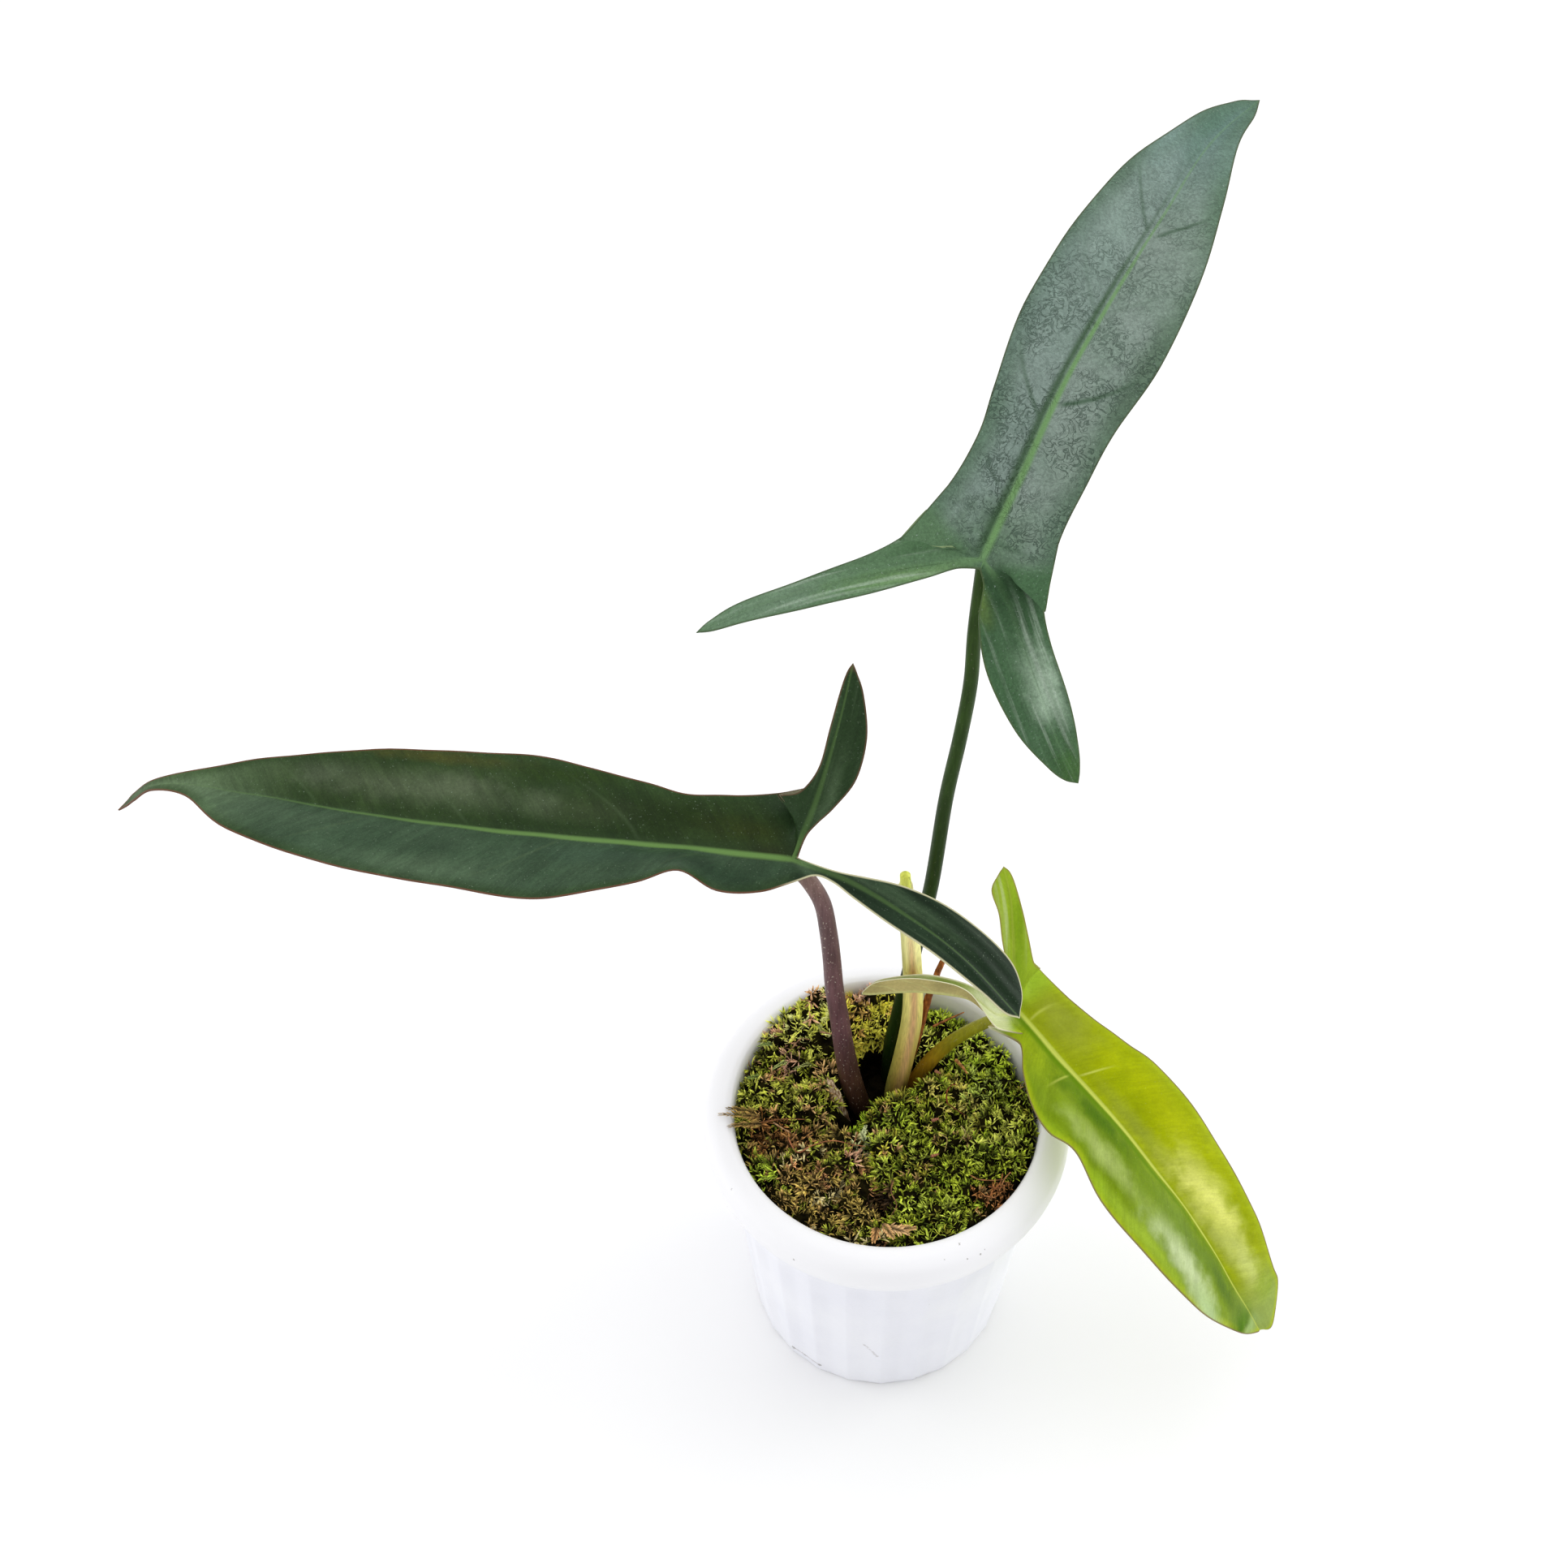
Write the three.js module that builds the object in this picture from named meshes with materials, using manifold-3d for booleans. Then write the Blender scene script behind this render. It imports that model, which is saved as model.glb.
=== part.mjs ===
import * as THREE from 'three';
import { mergeVertices } from 'three/addons/utils/BufferGeometryUtils.js';
import Module from 'manifold-3d';

// A young philodendron with three spear-shaped leaves, in a white fluted pot of moss.
// Millimetres, +Z up. The origin is the middle of the pot's underside, and -Y is the front.

// Driving dimensions
const CLEARANCE = 0.3;            // between pieces that touch
const POT_HEIGHT = 140;
const RIM_RADIUS = 75;            // the rolled rim at its widest
const MOUTH_RADIUS = 63;
const BASE_RADIUS = 54;
const FLUTES = 24;
const SOIL_TOP = 108;
const STEM_CENTRE = [2, 26];
const CROWN_TOP = 112;            // the stem's swollen top, where the leaf stalks stand
const CROWN_RADIUS = 13;
const BLADE_THICKNESS = 0.8;

// Colours and finishes
const finish = (color, roughness) => new THREE.MeshStandardMaterial({ color, roughness, metalness: 0 });
const MATERIALS = {
  potWhite: finish(0xeeeff2, 0.3),
  soil: finish(0x2a211b, 0.95),
  stem: finish(0x6b5a3c, 0.8),
  greenMoss: finish(0x5f7426, 0.9),
  brownMoss: finish(0x7a6a3c, 0.9),
  paleMoss: finish(0x8a9a4a, 0.9),
  greyGreenLeaf: finish(0x4c6552, 0.4),
  darkLeaf: finish(0x24402a, 0.35),
  limeLeaf: finish(0x86a019, 0.4),
  newLeaf: finish(0xb9c46a, 0.45),
  sheath: finish(0xb79f6f, 0.5),
  dryBrown: finish(0x9a5a2c, 0.7),
};

const wasm = await Module();
wasm.setup();

const plant = new THREE.Group();

function addPart(name, geometry, material) {
  const mesh = new THREE.Mesh(geometry, material);
  mesh.name = name;
  plant.add(mesh);
}

// Joining and cutting closed bodies
function toSolid(geometry) {
  const bare = geometry.clone();
  bare.deleteAttribute('normal');
  bare.deleteAttribute('uv');
  const merged = mergeVertices(bare, 1e-5);
  return new wasm.Manifold(new wasm.Mesh({
    numProp: 3,
    vertProperties: new Float32Array(merged.attributes.position.array),
    triVerts: new Uint32Array(merged.index.array),
  }));
}

function toGeometry(solid) {
  const mesh = solid.getMesh();
  const points = [];
  for (let i = 0; i < mesh.vertProperties.length; i += mesh.numProp) {
    points.push(mesh.vertProperties[i], mesh.vertProperties[i + 1], mesh.vertProperties[i + 2]);
  }
  return meshOf(points, Array.from(mesh.triVerts));
}

function meshOf(coordinates, indices) {
  const geometry = new THREE.BufferGeometry();
  geometry.setAttribute('position', new THREE.Float32BufferAttribute(coordinates, 3));
  geometry.setIndex(indices);
  geometry.computeVertexNormals();
  return geometry;
}

// Curves and numbers along them
const vector = ([x, y, z]) => new THREE.Vector3(x, y, z);
const smoothCurve = (points) => new THREE.CatmullRomCurve3(points.map(vector), false, 'catmullrom', 0.5);

function valueAlong(values, share) {
  const place = Math.min(Math.max(share, 0), 1) * (values.length - 1);
  const index = Math.min(Math.floor(place), values.length - 2);
  return THREE.MathUtils.lerp(values[index], values[index + 1], place - index);
}

// A closed body skinned over rings of points that all turn the same way round its path
function loft(rings) {
  const sides = rings[0].length;
  const last = (rings.length - 1) * sides;
  const coordinates = rings.flat().flatMap((point) => point.toArray());
  const indices = [];
  for (let ring = 0; ring < rings.length - 1; ring++) {
    for (let side = 0; side < sides; side++) {
      const a = ring * sides + side;
      const b = ring * sides + (side + 1) % sides;
      indices.push(a, b, b + sides, a, b + sides, a + sides);
    }
  }
  const middles = [rings[0], rings.at(-1)].map((ring) => (
    ring.reduce((sum, point) => sum.add(point), new THREE.Vector3()).divideScalar(sides)));
  const first = rings.length * sides;
  coordinates.push(...middles[0].toArray(), ...middles[1].toArray());
  for (let side = 0; side < sides; side++) {
    const next = (side + 1) % sides;
    indices.push(first, next, side, first + 1, last + side, last + next);
  }
  return meshOf(coordinates, indices);
}

const STALK_SIDES = 8;

// A round stalk along a path, its radius read from a list of radii spread evenly along it. The room that
// it needs is the same stalk grown on all sides.
function stalk({ points, radii, steps, sides = STALK_SIDES }, grow = 0) {
  const path = smoothCurve(points);
  const frames = path.computeFrenetFrames(steps, false);
  const rings = [];
  for (let step = 0; step <= steps; step++) {
    const centre = path.getPointAt(step / steps);
    const past = step === 0 ? -grow : grow * Math.floor(step / steps);
    centre.addScaledVector(frames.tangents[step], past);
    const radius = valueAlong(radii, step / steps) + grow;
    const ring = [];
    for (let side = 0; side < sides; side++) {
      const angle = 2 * Math.PI * side / sides;
      ring.push(centre.clone()
        .addScaledVector(frames.normals[step], radius * Math.cos(angle))
        .addScaledVector(frames.binormals[step], radius * Math.sin(angle)));
    }
    rings.push(ring);
  }
  return loft(rings);
}

// An open surface: points shared by place, and triangles that face up
class Surface {
  points = [];
  depths = [];
  triangles = [];
  known = new Map();

  add(point, depth) {
    const key = point.toArray().map((value) => Math.round(value * 1e4)).join();
    if (!this.known.has(key)) {
      this.known.set(key, this.points.length);
      this.points.push(point);
      this.depths.push(depth);
    }
    return this.known.get(key);
  }

  // rows of indices; each square is split the same way, and squares that end in a point lose a half
  fill(rows, flip) {
    for (let row = 0; row < rows.length - 1; row++) {
      for (let column = 0; column < rows[row].length - 1; column++) {
        const [a, b] = [rows[row][column], rows[row][column + 1]];
        const [c, d] = [rows[row + 1][column], rows[row + 1][column + 1]];
        this.face(a, b, d, flip);
        this.face(a, d, c, flip);
      }
    }
  }

  face(a, b, c, flip) {
    if (a !== b && b !== c && c !== a) {
      this.triangles.push(flip ? [a, c, b] : [a, b, c]);
    }
  }

  // The closed body between this surface and a copy set below it by each point's depth
  thicken() {
    const top = meshOf(this.points.flatMap((point) => point.toArray()), this.triangles.flat());
    const normals = top.attributes.normal;
    const count = this.points.length;
    const below = this.points.map((point, index) => {
      const normal = new THREE.Vector3().fromBufferAttribute(normals, index);
      return point.clone().addScaledVector(normal, -this.depths[index]);
    });
    const indices = this.triangles.flat();
    const open = new Map();
    for (const [a, b, c] of this.triangles) {
      indices.push(a + count, c + count, b + count);
      for (const [from, to] of [[a, b], [b, c], [c, a]]) {
        if (!open.delete(`${to},${from}`)) {
          open.set(`${from},${to}`, [from, to]);
        }
      }
    }
    for (const [from, to] of open.values()) {
      indices.push(to, from, from + count, to, from + count, to + count);
    }
    return meshOf([...this.points, ...below].flatMap((point) => point.toArray()), indices);
  }
}

// Pot: one closed outline turned round the middle, fluted outside below the rim, with drain holes
const LIP_HEIGHT = 118;           // underside of the rolled rim
const WALL_TOP_RADIUS = 65.2;
const FLUTE_DEPTH = 0.7;
const SIDES_PER_FLUTE = 3;
const FLOOR_THICKNESS = 3.5;
const INNER_FLOOR_RADIUS = 50.5;
const INNER_TOP = 136;
const INNER_TOP_RADIUS = 62.3;
const DRAIN_HOLES = 6;
const DRAIN_RADIUS = 4;
const DRAIN_SIDES = 12;
const DRAIN_RING = 34;

const POT_PROFILE = [
  // radius, height, share of a flute's depth
  [BASE_RADIUS - 3.5, 0, 0],
  [BASE_RADIUS - 1, 0.7, 0.5],
  [BASE_RADIUS, 2.6, 1],
  [WALL_TOP_RADIUS, LIP_HEIGHT - 3, 1],
  [WALL_TOP_RADIUS + 1.2, LIP_HEIGHT - 0.8, 0],
  [RIM_RADIUS - 4.2, LIP_HEIGHT, 0],
  [RIM_RADIUS - 1.8, LIP_HEIGHT + 3.5, 0],
  [RIM_RADIUS, LIP_HEIGHT + 12.5, 0],
  [RIM_RADIUS - 1.3, POT_HEIGHT - 4, 0],
  [RIM_RADIUS - 5, POT_HEIGHT - 0.8, 0],
  [RIM_RADIUS - 9, POT_HEIGHT, 0],
  [MOUTH_RADIUS, POT_HEIGHT - 1, 0],
  [INNER_TOP_RADIUS, INNER_TOP, 0],
  [INNER_FLOOR_RADIUS + 1, FLOOR_THICKNESS + 1.5, 0],
  [INNER_FLOOR_RADIUS - 1, FLOOR_THICKNESS, 0],
];

function innerRadius(height) {
  const share = (height - FLOOR_THICKNESS) / (INNER_TOP - FLOOR_THICKNESS);
  return THREE.MathUtils.lerp(INNER_FLOOR_RADIUS, INNER_TOP_RADIUS, share);
}

function makePot() {
  const sides = FLUTES * SIDES_PER_FLUTE;
  const rings = POT_PROFILE.map(([radius, height, fluted]) => {
    const ring = [];
    for (let side = 0; side < sides; side++) {
      const angle = 2 * Math.PI * side / sides;
      const onRidge = side % SIDES_PER_FLUTE === 0;
      const reach = radius - (onRidge ? 0 : FLUTE_DEPTH * fluted);
      ring.push(new THREE.Vector3(reach * Math.cos(angle), reach * Math.sin(angle), height));
    }
    return ring;
  });
  let pot = toSolid(loft(rings));
  for (let hole = 0; hole < DRAIN_HOLES; hole++) {
    const angle = 2 * Math.PI * hole / DRAIN_HOLES;
    const drill = new THREE.CylinderGeometry(DRAIN_RADIUS, DRAIN_RADIUS, 4 * FLOOR_THICKNESS, DRAIN_SIDES);
    drill.rotateX(Math.PI / 2);
    drill.translate(DRAIN_RING * Math.cos(angle), DRAIN_RING * Math.sin(angle), 0);
    pot = pot.subtract(toSolid(drill));
  }
  addPart('pot', toGeometry(pot), MATERIALS.potWhite);
}

// Leaf stalks: the round stalk of each leaf, from its socket in the crown to its blade
const TALL_STALK = {
  points: [
    [2, 32.5, 101], [2.4, 33.4, 116], [3, 35.3, 133], [6, 37.8, 156.5], [11, 42, 195],
    [16, 46, 231], [19.7, 51, 279], [23.7, 54.6, 312], [26.3, 57.5, 340], [26.6, 60.5, 366], [28, 63.4, 398],
  ],
  radii: [3.4, 3.3, 3, 2.9, 2.8, 2.7, 2.5],
  steps: 20,
};
const LEFT_STALK = {
  points: [
    [-6.5, 19, 101], [-9, 17.5, 110], [-13.5, 17.6, 129], [-17, 18.2, 153], [-19.4, 18.9, 176],
    [-21.8, 19.5, 197], [-23.2, 20.2, 218], [-24.7, 20.7, 235], [-27, 21.3, 252], [-31.5, 22.2, 264],
    [-38, 23.5, 274.5],
  ],
  radii: [4.6, 4.7, 4.1, 3.8, 3.6, 3.4, 3.2],
  steps: 18,
};
const LIME_STALK = {
  points: [
    [11, 26.8, 101], [12, 26.8, 112], [14.5, 26.9, 122], [20, 27, 136], [29, 26.7, 151], [40, 25.5, 164],
    [51.5, 23.3, 173.4],
  ],
  radii: [3.4, 3.4, 3.1, 2.8, 2.5, 2.4],
  steps: 14,
};

// Leaf blades. Each is spanned by three ribs that leave the stalk's end: the midrib and one rib in each
// back lobe. shares are the stations along a rib, the midrib's from its tip inwards. A margin gives each
// station's distance to the leaf's edge, how far that line sweeps towards the rib's tip and how far it
// lifts above the rib, in degrees.
const TALL_BLADE = {
  ribs: {
    midrib: {
      points: [[28, 64, 400], [41, 84, 420], [56, 111, 438], [75, 144, 450], [95, 180, 456],
        [115, 218, 457], [137, 250, 451]],
      up: [[0, -0.35, 1], [0, -0.35, 1]],
      shares: [0.95, 0.85, 0.7, 0.55, 0.4, 0.28, 0.2, 0.1, 0],
    },
    left: {
      points: [[28, 64, 400], [7, 61, 399], [-18, 58, 396], [-46, 55, 388], [-73, 53, 373]],
      up: [[0, -0.35, 1], [-0.2, -0.3, 1]],
      shares: [0.12, 0.25, 0.45, 0.65, 0.85, 0.95],
    },
    right: {
      points: [[28, 64, 400], [36, 53, 391], [42, 44, 377], [50, 33, 358], [57, 27, 341], [65, 25, 322]],
      up: [[0, -0.35, 1], [0.3, -0.9, 0.6]],
      shares: [0.12, 0.25, 0.45, 0.65, 0.85, 0.95],
    },
  },
  sinus: [27, 60.5, 398.5],
  halves: [
    {
      lobe: 'left',
      hand: 1,
      main: [[6, 10, 6], [12, 15, 6], [22, 15, 6], [26.5, 15, 6], [26.5, 10, 6], [22, 5, 6], [20, 0, 6],
        [23, -8, 6], [31, -15, 4]],
      lobeOuter: [[25.5, 5, 2], [14.5, 10, 0], [7.5, 0, 0], [4.5, 0, 0], [4, 0, 0], [2.5, 0, 0]],
      lobeInner: [[2.5, -10, 0], [4.5, 0, 0], [7, 0, 0], [7, 0, 0], [4, 0, 0], [2, 0, 0]],
    },
    {
      lobe: 'right',
      hand: -1,
      main: [[4, 10, 6], [9, 15, 6], [18, 15, 6], [25.5, 15, 6], [28, 10, 6], [24, 5, 6], [22.5, 0, 6],
        [22.5, -8, 6], [29, -15, 4]],
      lobeOuter: [[21, 5, 2], [12.5, 5, 0], [10, 0, 0], [9.5, 0, 0], [6.5, 0, 0], [3, 0, 0]],
      lobeInner: [[5.5, -10, 0], [12.5, 0, 0], [15.5, 0, 0], [13, 0, 0], [7.5, 0, 0], [4, 0, 0]],
    },
  ],
};

const LEFT_BLADE = {
  ribs: {
    midrib: {
      points: [[-39, 24, 277], [-79, 24, 284], [-120, 27, 286], [-162, 33, 285], [-204, 43, 281],
        [-246, 58, 273], [-283, 70, 264], [-304, 72, 245]],
      up: [[0, -0.05, 1], [0, -0.05, 1]],
      shares: [0.97, 0.94, 0.88, 0.8, 0.7, 0.55, 0.4, 0.33, 0.27, 0.2, 0.15, 0.1, 0.05, 0],
    },
    near: {
      points: [[-39, 24, 277], [-18, 14, 277], [4, 3, 270], [26, -8, 257], [47, -20, 236]],
      up: [[0, -0.05, 1], [0.2, -0.5, 1], [0.35, -0.35, 1], [0.5, -0.3, 1]],
      shares: [0.12, 0.2, 0.3, 0.45, 0.65, 0.85, 0.95],
    },
    far: {
      points: [[-39, 24, 277], [-31, 38, 289], [-25, 51, 303], [-20, 65, 315], [-16, 79, 326]],
      up: [[0, -0.05, 1], [0, -0.5, 1], [0, -0.6, 1]],
      shares: [0.12, 0.2, 0.3, 0.45, 0.65, 0.85, 0.95],
    },
  },
  sinus: [-36.5, 24.5, 277.5],
  halves: [
    {
      lobe: 'near',
      hand: 1,
      main: [[1, 0, 6], [1.5, 0, 6], [2, 5, 6], [6, 10, 6], [19.5, 15, 6], [27.5, 15, 6], [29.5, 10, 6],
        [31, 5, 6], [30, 5, 12], [26, 0, 24], [25.5, 0, 38], [20, 0, 10], [15.5, -10, -4], [10, -10, 2]],
      lobeOuter: [[3, 0, 0], [3, 0, 0], [5, 0, 0], [6.5, 0, 0], [6.5, 0, 0], [5, 0, 0], [3.5, 0, 0]],
      lobeInner: [[1.5, 0, 0], [2, 0, 0], [4.5, 0, 0], [9.5, 0, 0], [13.5, 0, 0], [14.5, 0, 0], [10, 0, 0]],
    },
    {
      lobe: 'far',
      hand: -1,
      main: [[1.5, 0, 6], [2.5, 0, 6], [3.5, 5, 6], [7.5, 10, 6], [17.5, 15, 6], [29.5, 15, 6], [33.5, 10, 6],
        [34, 5, 6], [31, 5, 6], [26.5, 0, 6], [23.5, 0, 6], [24.5, 0, 6], [27, -10, 6], [32, -10, 6]],
      lobeOuter: [[18, 35, 4], [14, 20, 0], [7, 10, 0], [3, 0, 0], [3, 0, 0], [2.5, 0, 0], [1.5, 0, 0]],
      lobeInner: [[1.5, 0, 0], [3.5, 0, 0], [7.5, 0, 0], [12, 0, 0], [11.5, 0, 0], [6.5, 0, 0], [2.5, 0, 0]],
    },
  ],
};

const LIME_BLADE = {
  ribs: {
    midrib: {
      points: [[53, 23, 175], [71, 2, 168], [90, -15, 156], [108, -30, 139], [126, -43, 117], [141, -55, 93],
        [154, -64, 70.5]],
      up: [[-0.1, 0.2, 1], [0.3, -0.2, 1], [0.7, -0.4, 0.6]],
      shares: [0.99, 0.96, 0.9, 0.8, 0.7, 0.55, 0.4, 0.3, 0.24, 0.18, 0.12, 0.06, 0],
    },
    upper: {
      points: [[53, 23, 175], [50, 30, 193], [49, 39, 208], [48, 48, 218], [45, 57, 228]],
      up: [[-0.1, 0.2, 1], [0.2, -1, 0.6], [0.2, -1, 0.6]],
      shares: [0.12, 0.25, 0.45, 0.65, 0.85, 0.95],
    },
    left: {
      points: [[53, 23, 175], [43, 18, 181], [32, 20, 191], [16, 18.5, 197], [2.5, 18.5, 197], [-11, 21, 192]],
      up: [[-0.1, 0.2, 1], [0, 0, 1], [0, 0, 1]],
      shares: [0.12, 0.25, 0.45, 0.65, 0.85, 0.95],
    },
  },
  sinus: [50.5, 25, 176.5],
  halves: [
    {
      lobe: 'upper',
      hand: 1,
      main: [[9, 40, 6], [20, 0, 6], [22.5, 5, 6], [25.5, 10, 6], [27.5, 15, 6], [30.5, 15, 6],
        [31.5, 10, 6], [30.5, 5, 6], [27.5, 0, 6], [25.5, 0, 6], [22.5, -5, 6], [21, -20, 6], [23, -35, 6]],
      lobeOuter: [[14.5, 40, 4], [9, 20, 0], [6.5, 0, 0], [4.5, 0, 0], [3, 0, 0], [2, 0, 0]],
      lobeInner: [[2.5, 0, 0], [2.5, 0, 0], [4.5, 0, 0], [5.5, 0, 0], [7, 0, 0], [3, 0, 0]],
    },
    {
      lobe: 'left',
      hand: -1,
      main: [[2, 40, 6], [8, 0, 6], [13.5, 5, 6], [21.5, 10, 6], [27, 15, 6], [31.5, 15, 6], [31.5, 10, 6],
        [25.5, 5, 6], [28.5, 0, 6], [25.5, 0, 6], [18, 0, 6], [9.5, -5, 6], [15.5, -10, 0]],
      lobeOuter: [[14, 0, 5], [12, 0, 25], [6, 0, 70], [9.5, 0, 88], [9, 0, 82], [4.5, 0, 75]],
      lobeInner: [[7, 0, 10], [5.5, 0, 28], [5, 0, 55], [7.5, 0, 65], [6, 0, 65], [3, 0, 60]],
    },
  ],
};

const BLADE_COLUMNS = 5;          // squares between a rib and the leaf's edge
const LOBE_COLUMNS = 4;
const CLOSE_STATIONS = 0.09;      // stations this near each other get no row between them
const ARCH = 0.05;                // how far a half bulges up, as a share of its width
const RIB_DEPTH = 1.1;            // how far a rib stands proud below the blade at its thick end
const RIB_REACH = 3.2;            // how far from its middle a rib blends into the blade
const RIB_TAPER = 0.75;

// The rib's place, its way on, its up and the side to its left at a share of its length
function ribFrame(rib, share) {
  const path = smoothCurve(rib.points);
  const forward = path.getPoint(Math.min(share + 0.01, 1)).sub(path.getPoint(Math.max(share - 0.01, 0)));
  forward.normalize();
  const lean = smoothCurve(rib.up).getPoint(share).normalize();
  const up = lean.clone().addScaledVector(forward, -lean.dot(forward)).normalize();
  return { place: path.getPoint(share), forward, up, side: up.clone().cross(forward), lean };
}

function edgePoint(rib, share, hand, [width, sweep, lift]) {
  const { place, forward, up, side } = ribFrame(rib, share);
  const [turn, rise] = [THREE.MathUtils.degToRad(sweep), THREE.MathUtils.degToRad(lift)];
  const flat = side.multiplyScalar(hand * Math.cos(turn)).addScaledVector(forward, Math.sin(turn));
  return place.addScaledVector(flat, width * Math.cos(rise)).addScaledVector(up, width * Math.sin(rise));
}

function bladeDepth(share, distance) {
  const proud = RIB_DEPTH * (1 - RIB_TAPER * share) * Math.max(0, 1 - distance / RIB_REACH);
  return BLADE_THICKNESS + proud;
}

// Lays one side of a blade between its line of rib stations and the matching line of edge points. The
// rib of a station is the one that leads to it from the station before.
function laySide(surface, stations, columns, flip) {
  const edge = new THREE.CatmullRomCurve3(stations.map((station) => station.edge), false, 'catmullrom', 0.5);
  const intervals = stations.length - 1;
  const places = [0];
  for (let index = 0; index < intervals; index++) {
    if (Math.abs(stations[index + 1].share - stations[index].share) > CLOSE_STATIONS) {
      places.push(index + 0.5);
    }
    places.push(index + 1);
  }
  const rows = [];
  for (const place of places) {
    const index = Math.min(Math.floor(place), intervals - 1);
    const [from, to] = [stations[index], stations[index + 1]];
    const share = THREE.MathUtils.lerp(from.share, to.share, place - index);
    const { place: root, lean } = ribFrame(to.rib, share);
    const tip = edge.getPoint(place / intervals);
    const width = root.distanceTo(tip);
    const row = [];
    for (let column = 0; column <= columns; column++) {
      const across = column / columns;
      const point = root.clone().lerp(tip, across);
      point.addScaledVector(lean, 4 * ARCH * width * across * (1 - across));
      row.push(surface.add(point, bladeDepth(share, across * width)));
    }
    rows.push(row);
  }
  surface.fill(rows, flip);
}

function makeBlade({ ribs, sinus, halves }) {
  const surface = new Surface();
  const line = (rib, hand, margin) => margin.map((values, index) => {
    const share = rib.shares[index];
    return { rib, share, edge: edgePoint(rib, share, hand, values) };
  });
  const tip = (rib) => ({ rib, share: 1, edge: vector(rib.points.at(-1)) });
  for (const { lobe, hand, main, lobeOuter, lobeInner } of halves) {
    const [midrib, back] = [ribs.midrib, ribs[lobe]];
    const outer = [
      tip(midrib), ...line(midrib, hand, main), ...line(back, -hand, lobeOuter), tip(back),
    ];
    const inner = [
      { rib: back, share: 0, edge: vector(sinus) }, ...line(back, hand, lobeInner), tip(back),
    ];
    laySide(surface, outer, BLADE_COLUMNS, hand < 0);
    laySide(surface, inner, LOBE_COLUMNS, hand > 0);
  }
  return surface.thicken();
}

// A leaf is its blade and the stalk that it grew on, in one piece. The stalk's end is cut level with the
// blade's upper face, so that it is wholly under the blade.
const STALK_INSET = 0.3;
const CUTTER = { width: 30, height: 20 };

function makeLeaf(name, blade, stem, material) {
  const { place, up } = ribFrame(blade.ribs.midrib, 0);
  const above = new THREE.BoxGeometry(CUTTER.width, CUTTER.width, CUTTER.height);
  above.translate(0, 0, CUTTER.height / 2 - STALK_INSET);
  above.applyQuaternion(new THREE.Quaternion().setFromUnitVectors(new THREE.Vector3(0, 0, 1), up));
  above.translate(...place.toArray());
  const trimmed = toSolid(stalk(stem)).subtract(toSolid(above));
  addPart(name, toGeometry(toSolid(makeBlade(blade)).add(trimmed)), material);
}

// Newest leaf: still rolled up, standing in a sheath that is open down its right side
const SPIKE_PATH = [
  [4.5, 22, 101], [4.7, 22.2, 118], [7.7, 23.7, 143], [9.9, 25.4, 165], [9.9, 26.9, 186],
  [8, 28.7, 214], [5.6, 30.4, 241], [4.5, 31.5, 257],
];
const NEW_LEAF = { points: SPIKE_PATH, radii: [2.8, 2.9, 2.8, 2.7, 2.4, 2, 0.6], steps: 13 };
const SHEATH = {
  radii: [4.3, 4.4, 4.3, 4.2, 4, 3.8, 3.5, 2.6],
  thickness: 0.8,
  steps: 13,
  columns: 9,
  slitMiddle: 0,                  // the direction the slit faces, in degrees from +X
  slitWidth: 50,                  // in degrees
  length: 0.96,                   // share of the spike that it covers
};

function makeSheath() {
  const path = smoothCurve(SPIKE_PATH);
  const surface = new Surface();
  const rows = [];
  const first = THREE.MathUtils.degToRad(SHEATH.slitMiddle + SHEATH.slitWidth / 2);
  const round = THREE.MathUtils.degToRad(360 - SHEATH.slitWidth);
  for (let step = 0; step <= SHEATH.steps; step++) {
    const share = SHEATH.length * step / SHEATH.steps;
    const centre = path.getPointAt(share);
    const radius = valueAlong(SHEATH.radii, share);
    const row = [];
    for (let column = 0; column <= SHEATH.columns; column++) {
      const angle = first + round * column / SHEATH.columns;
      const point = centre.clone();
      point.x += radius * Math.cos(angle);
      point.y += radius * Math.sin(angle);
      row.push(surface.add(point, SHEATH.thickness));
    }
    rows.push(row);
  }
  surface.fill(rows, false);
  return surface.thicken();
}

// A thin strip along a path: each station is a point, the strip's half-width and its facing in degrees
// from +X, and it bows by a share of its width
const STRIP_COLUMNS = 4;

function makeStrip({ stations, thickness, bow }) {
  const surface = new Surface();
  const rows = stations.map(([point, halfWidth, facing]) => {
    const angle = THREE.MathUtils.degToRad(facing);
    const outward = new THREE.Vector3(Math.cos(angle), Math.sin(angle), 0);
    const across = new THREE.Vector3(-outward.y, outward.x, 0);
    const row = [];
    for (let column = 0; column <= STRIP_COLUMNS; column++) {
      const place = 2 * column / STRIP_COLUMNS - 1;
      row.push(surface.add(vector(point)
        .addScaledVector(across, halfWidth * place)
        .addScaledVector(outward, bow * halfWidth * (1 - place * place)), thickness));
    }
    return row;
  });
  surface.fill(rows, false);
  return surface.thicken();
}

// The room that a strip needs: the same strip, wider and thicker on both faces
function stripSocket(strip) {
  const stations = strip.stations.map(([[x, y, z], halfWidth, facing], index) => {
    const angle = THREE.MathUtils.degToRad(facing);
    const height = index === 0 ? z - CLEARANCE : z;
    const moved = [x + CLEARANCE * Math.cos(angle), y + CLEARANCE * Math.sin(angle), height];
    return [moved, halfWidth + 2 * CLEARANCE, facing];
  });
  return makeStrip({ ...strip, stations, thickness: strip.thickness + 3 * CLEARANCE });
}

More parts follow.
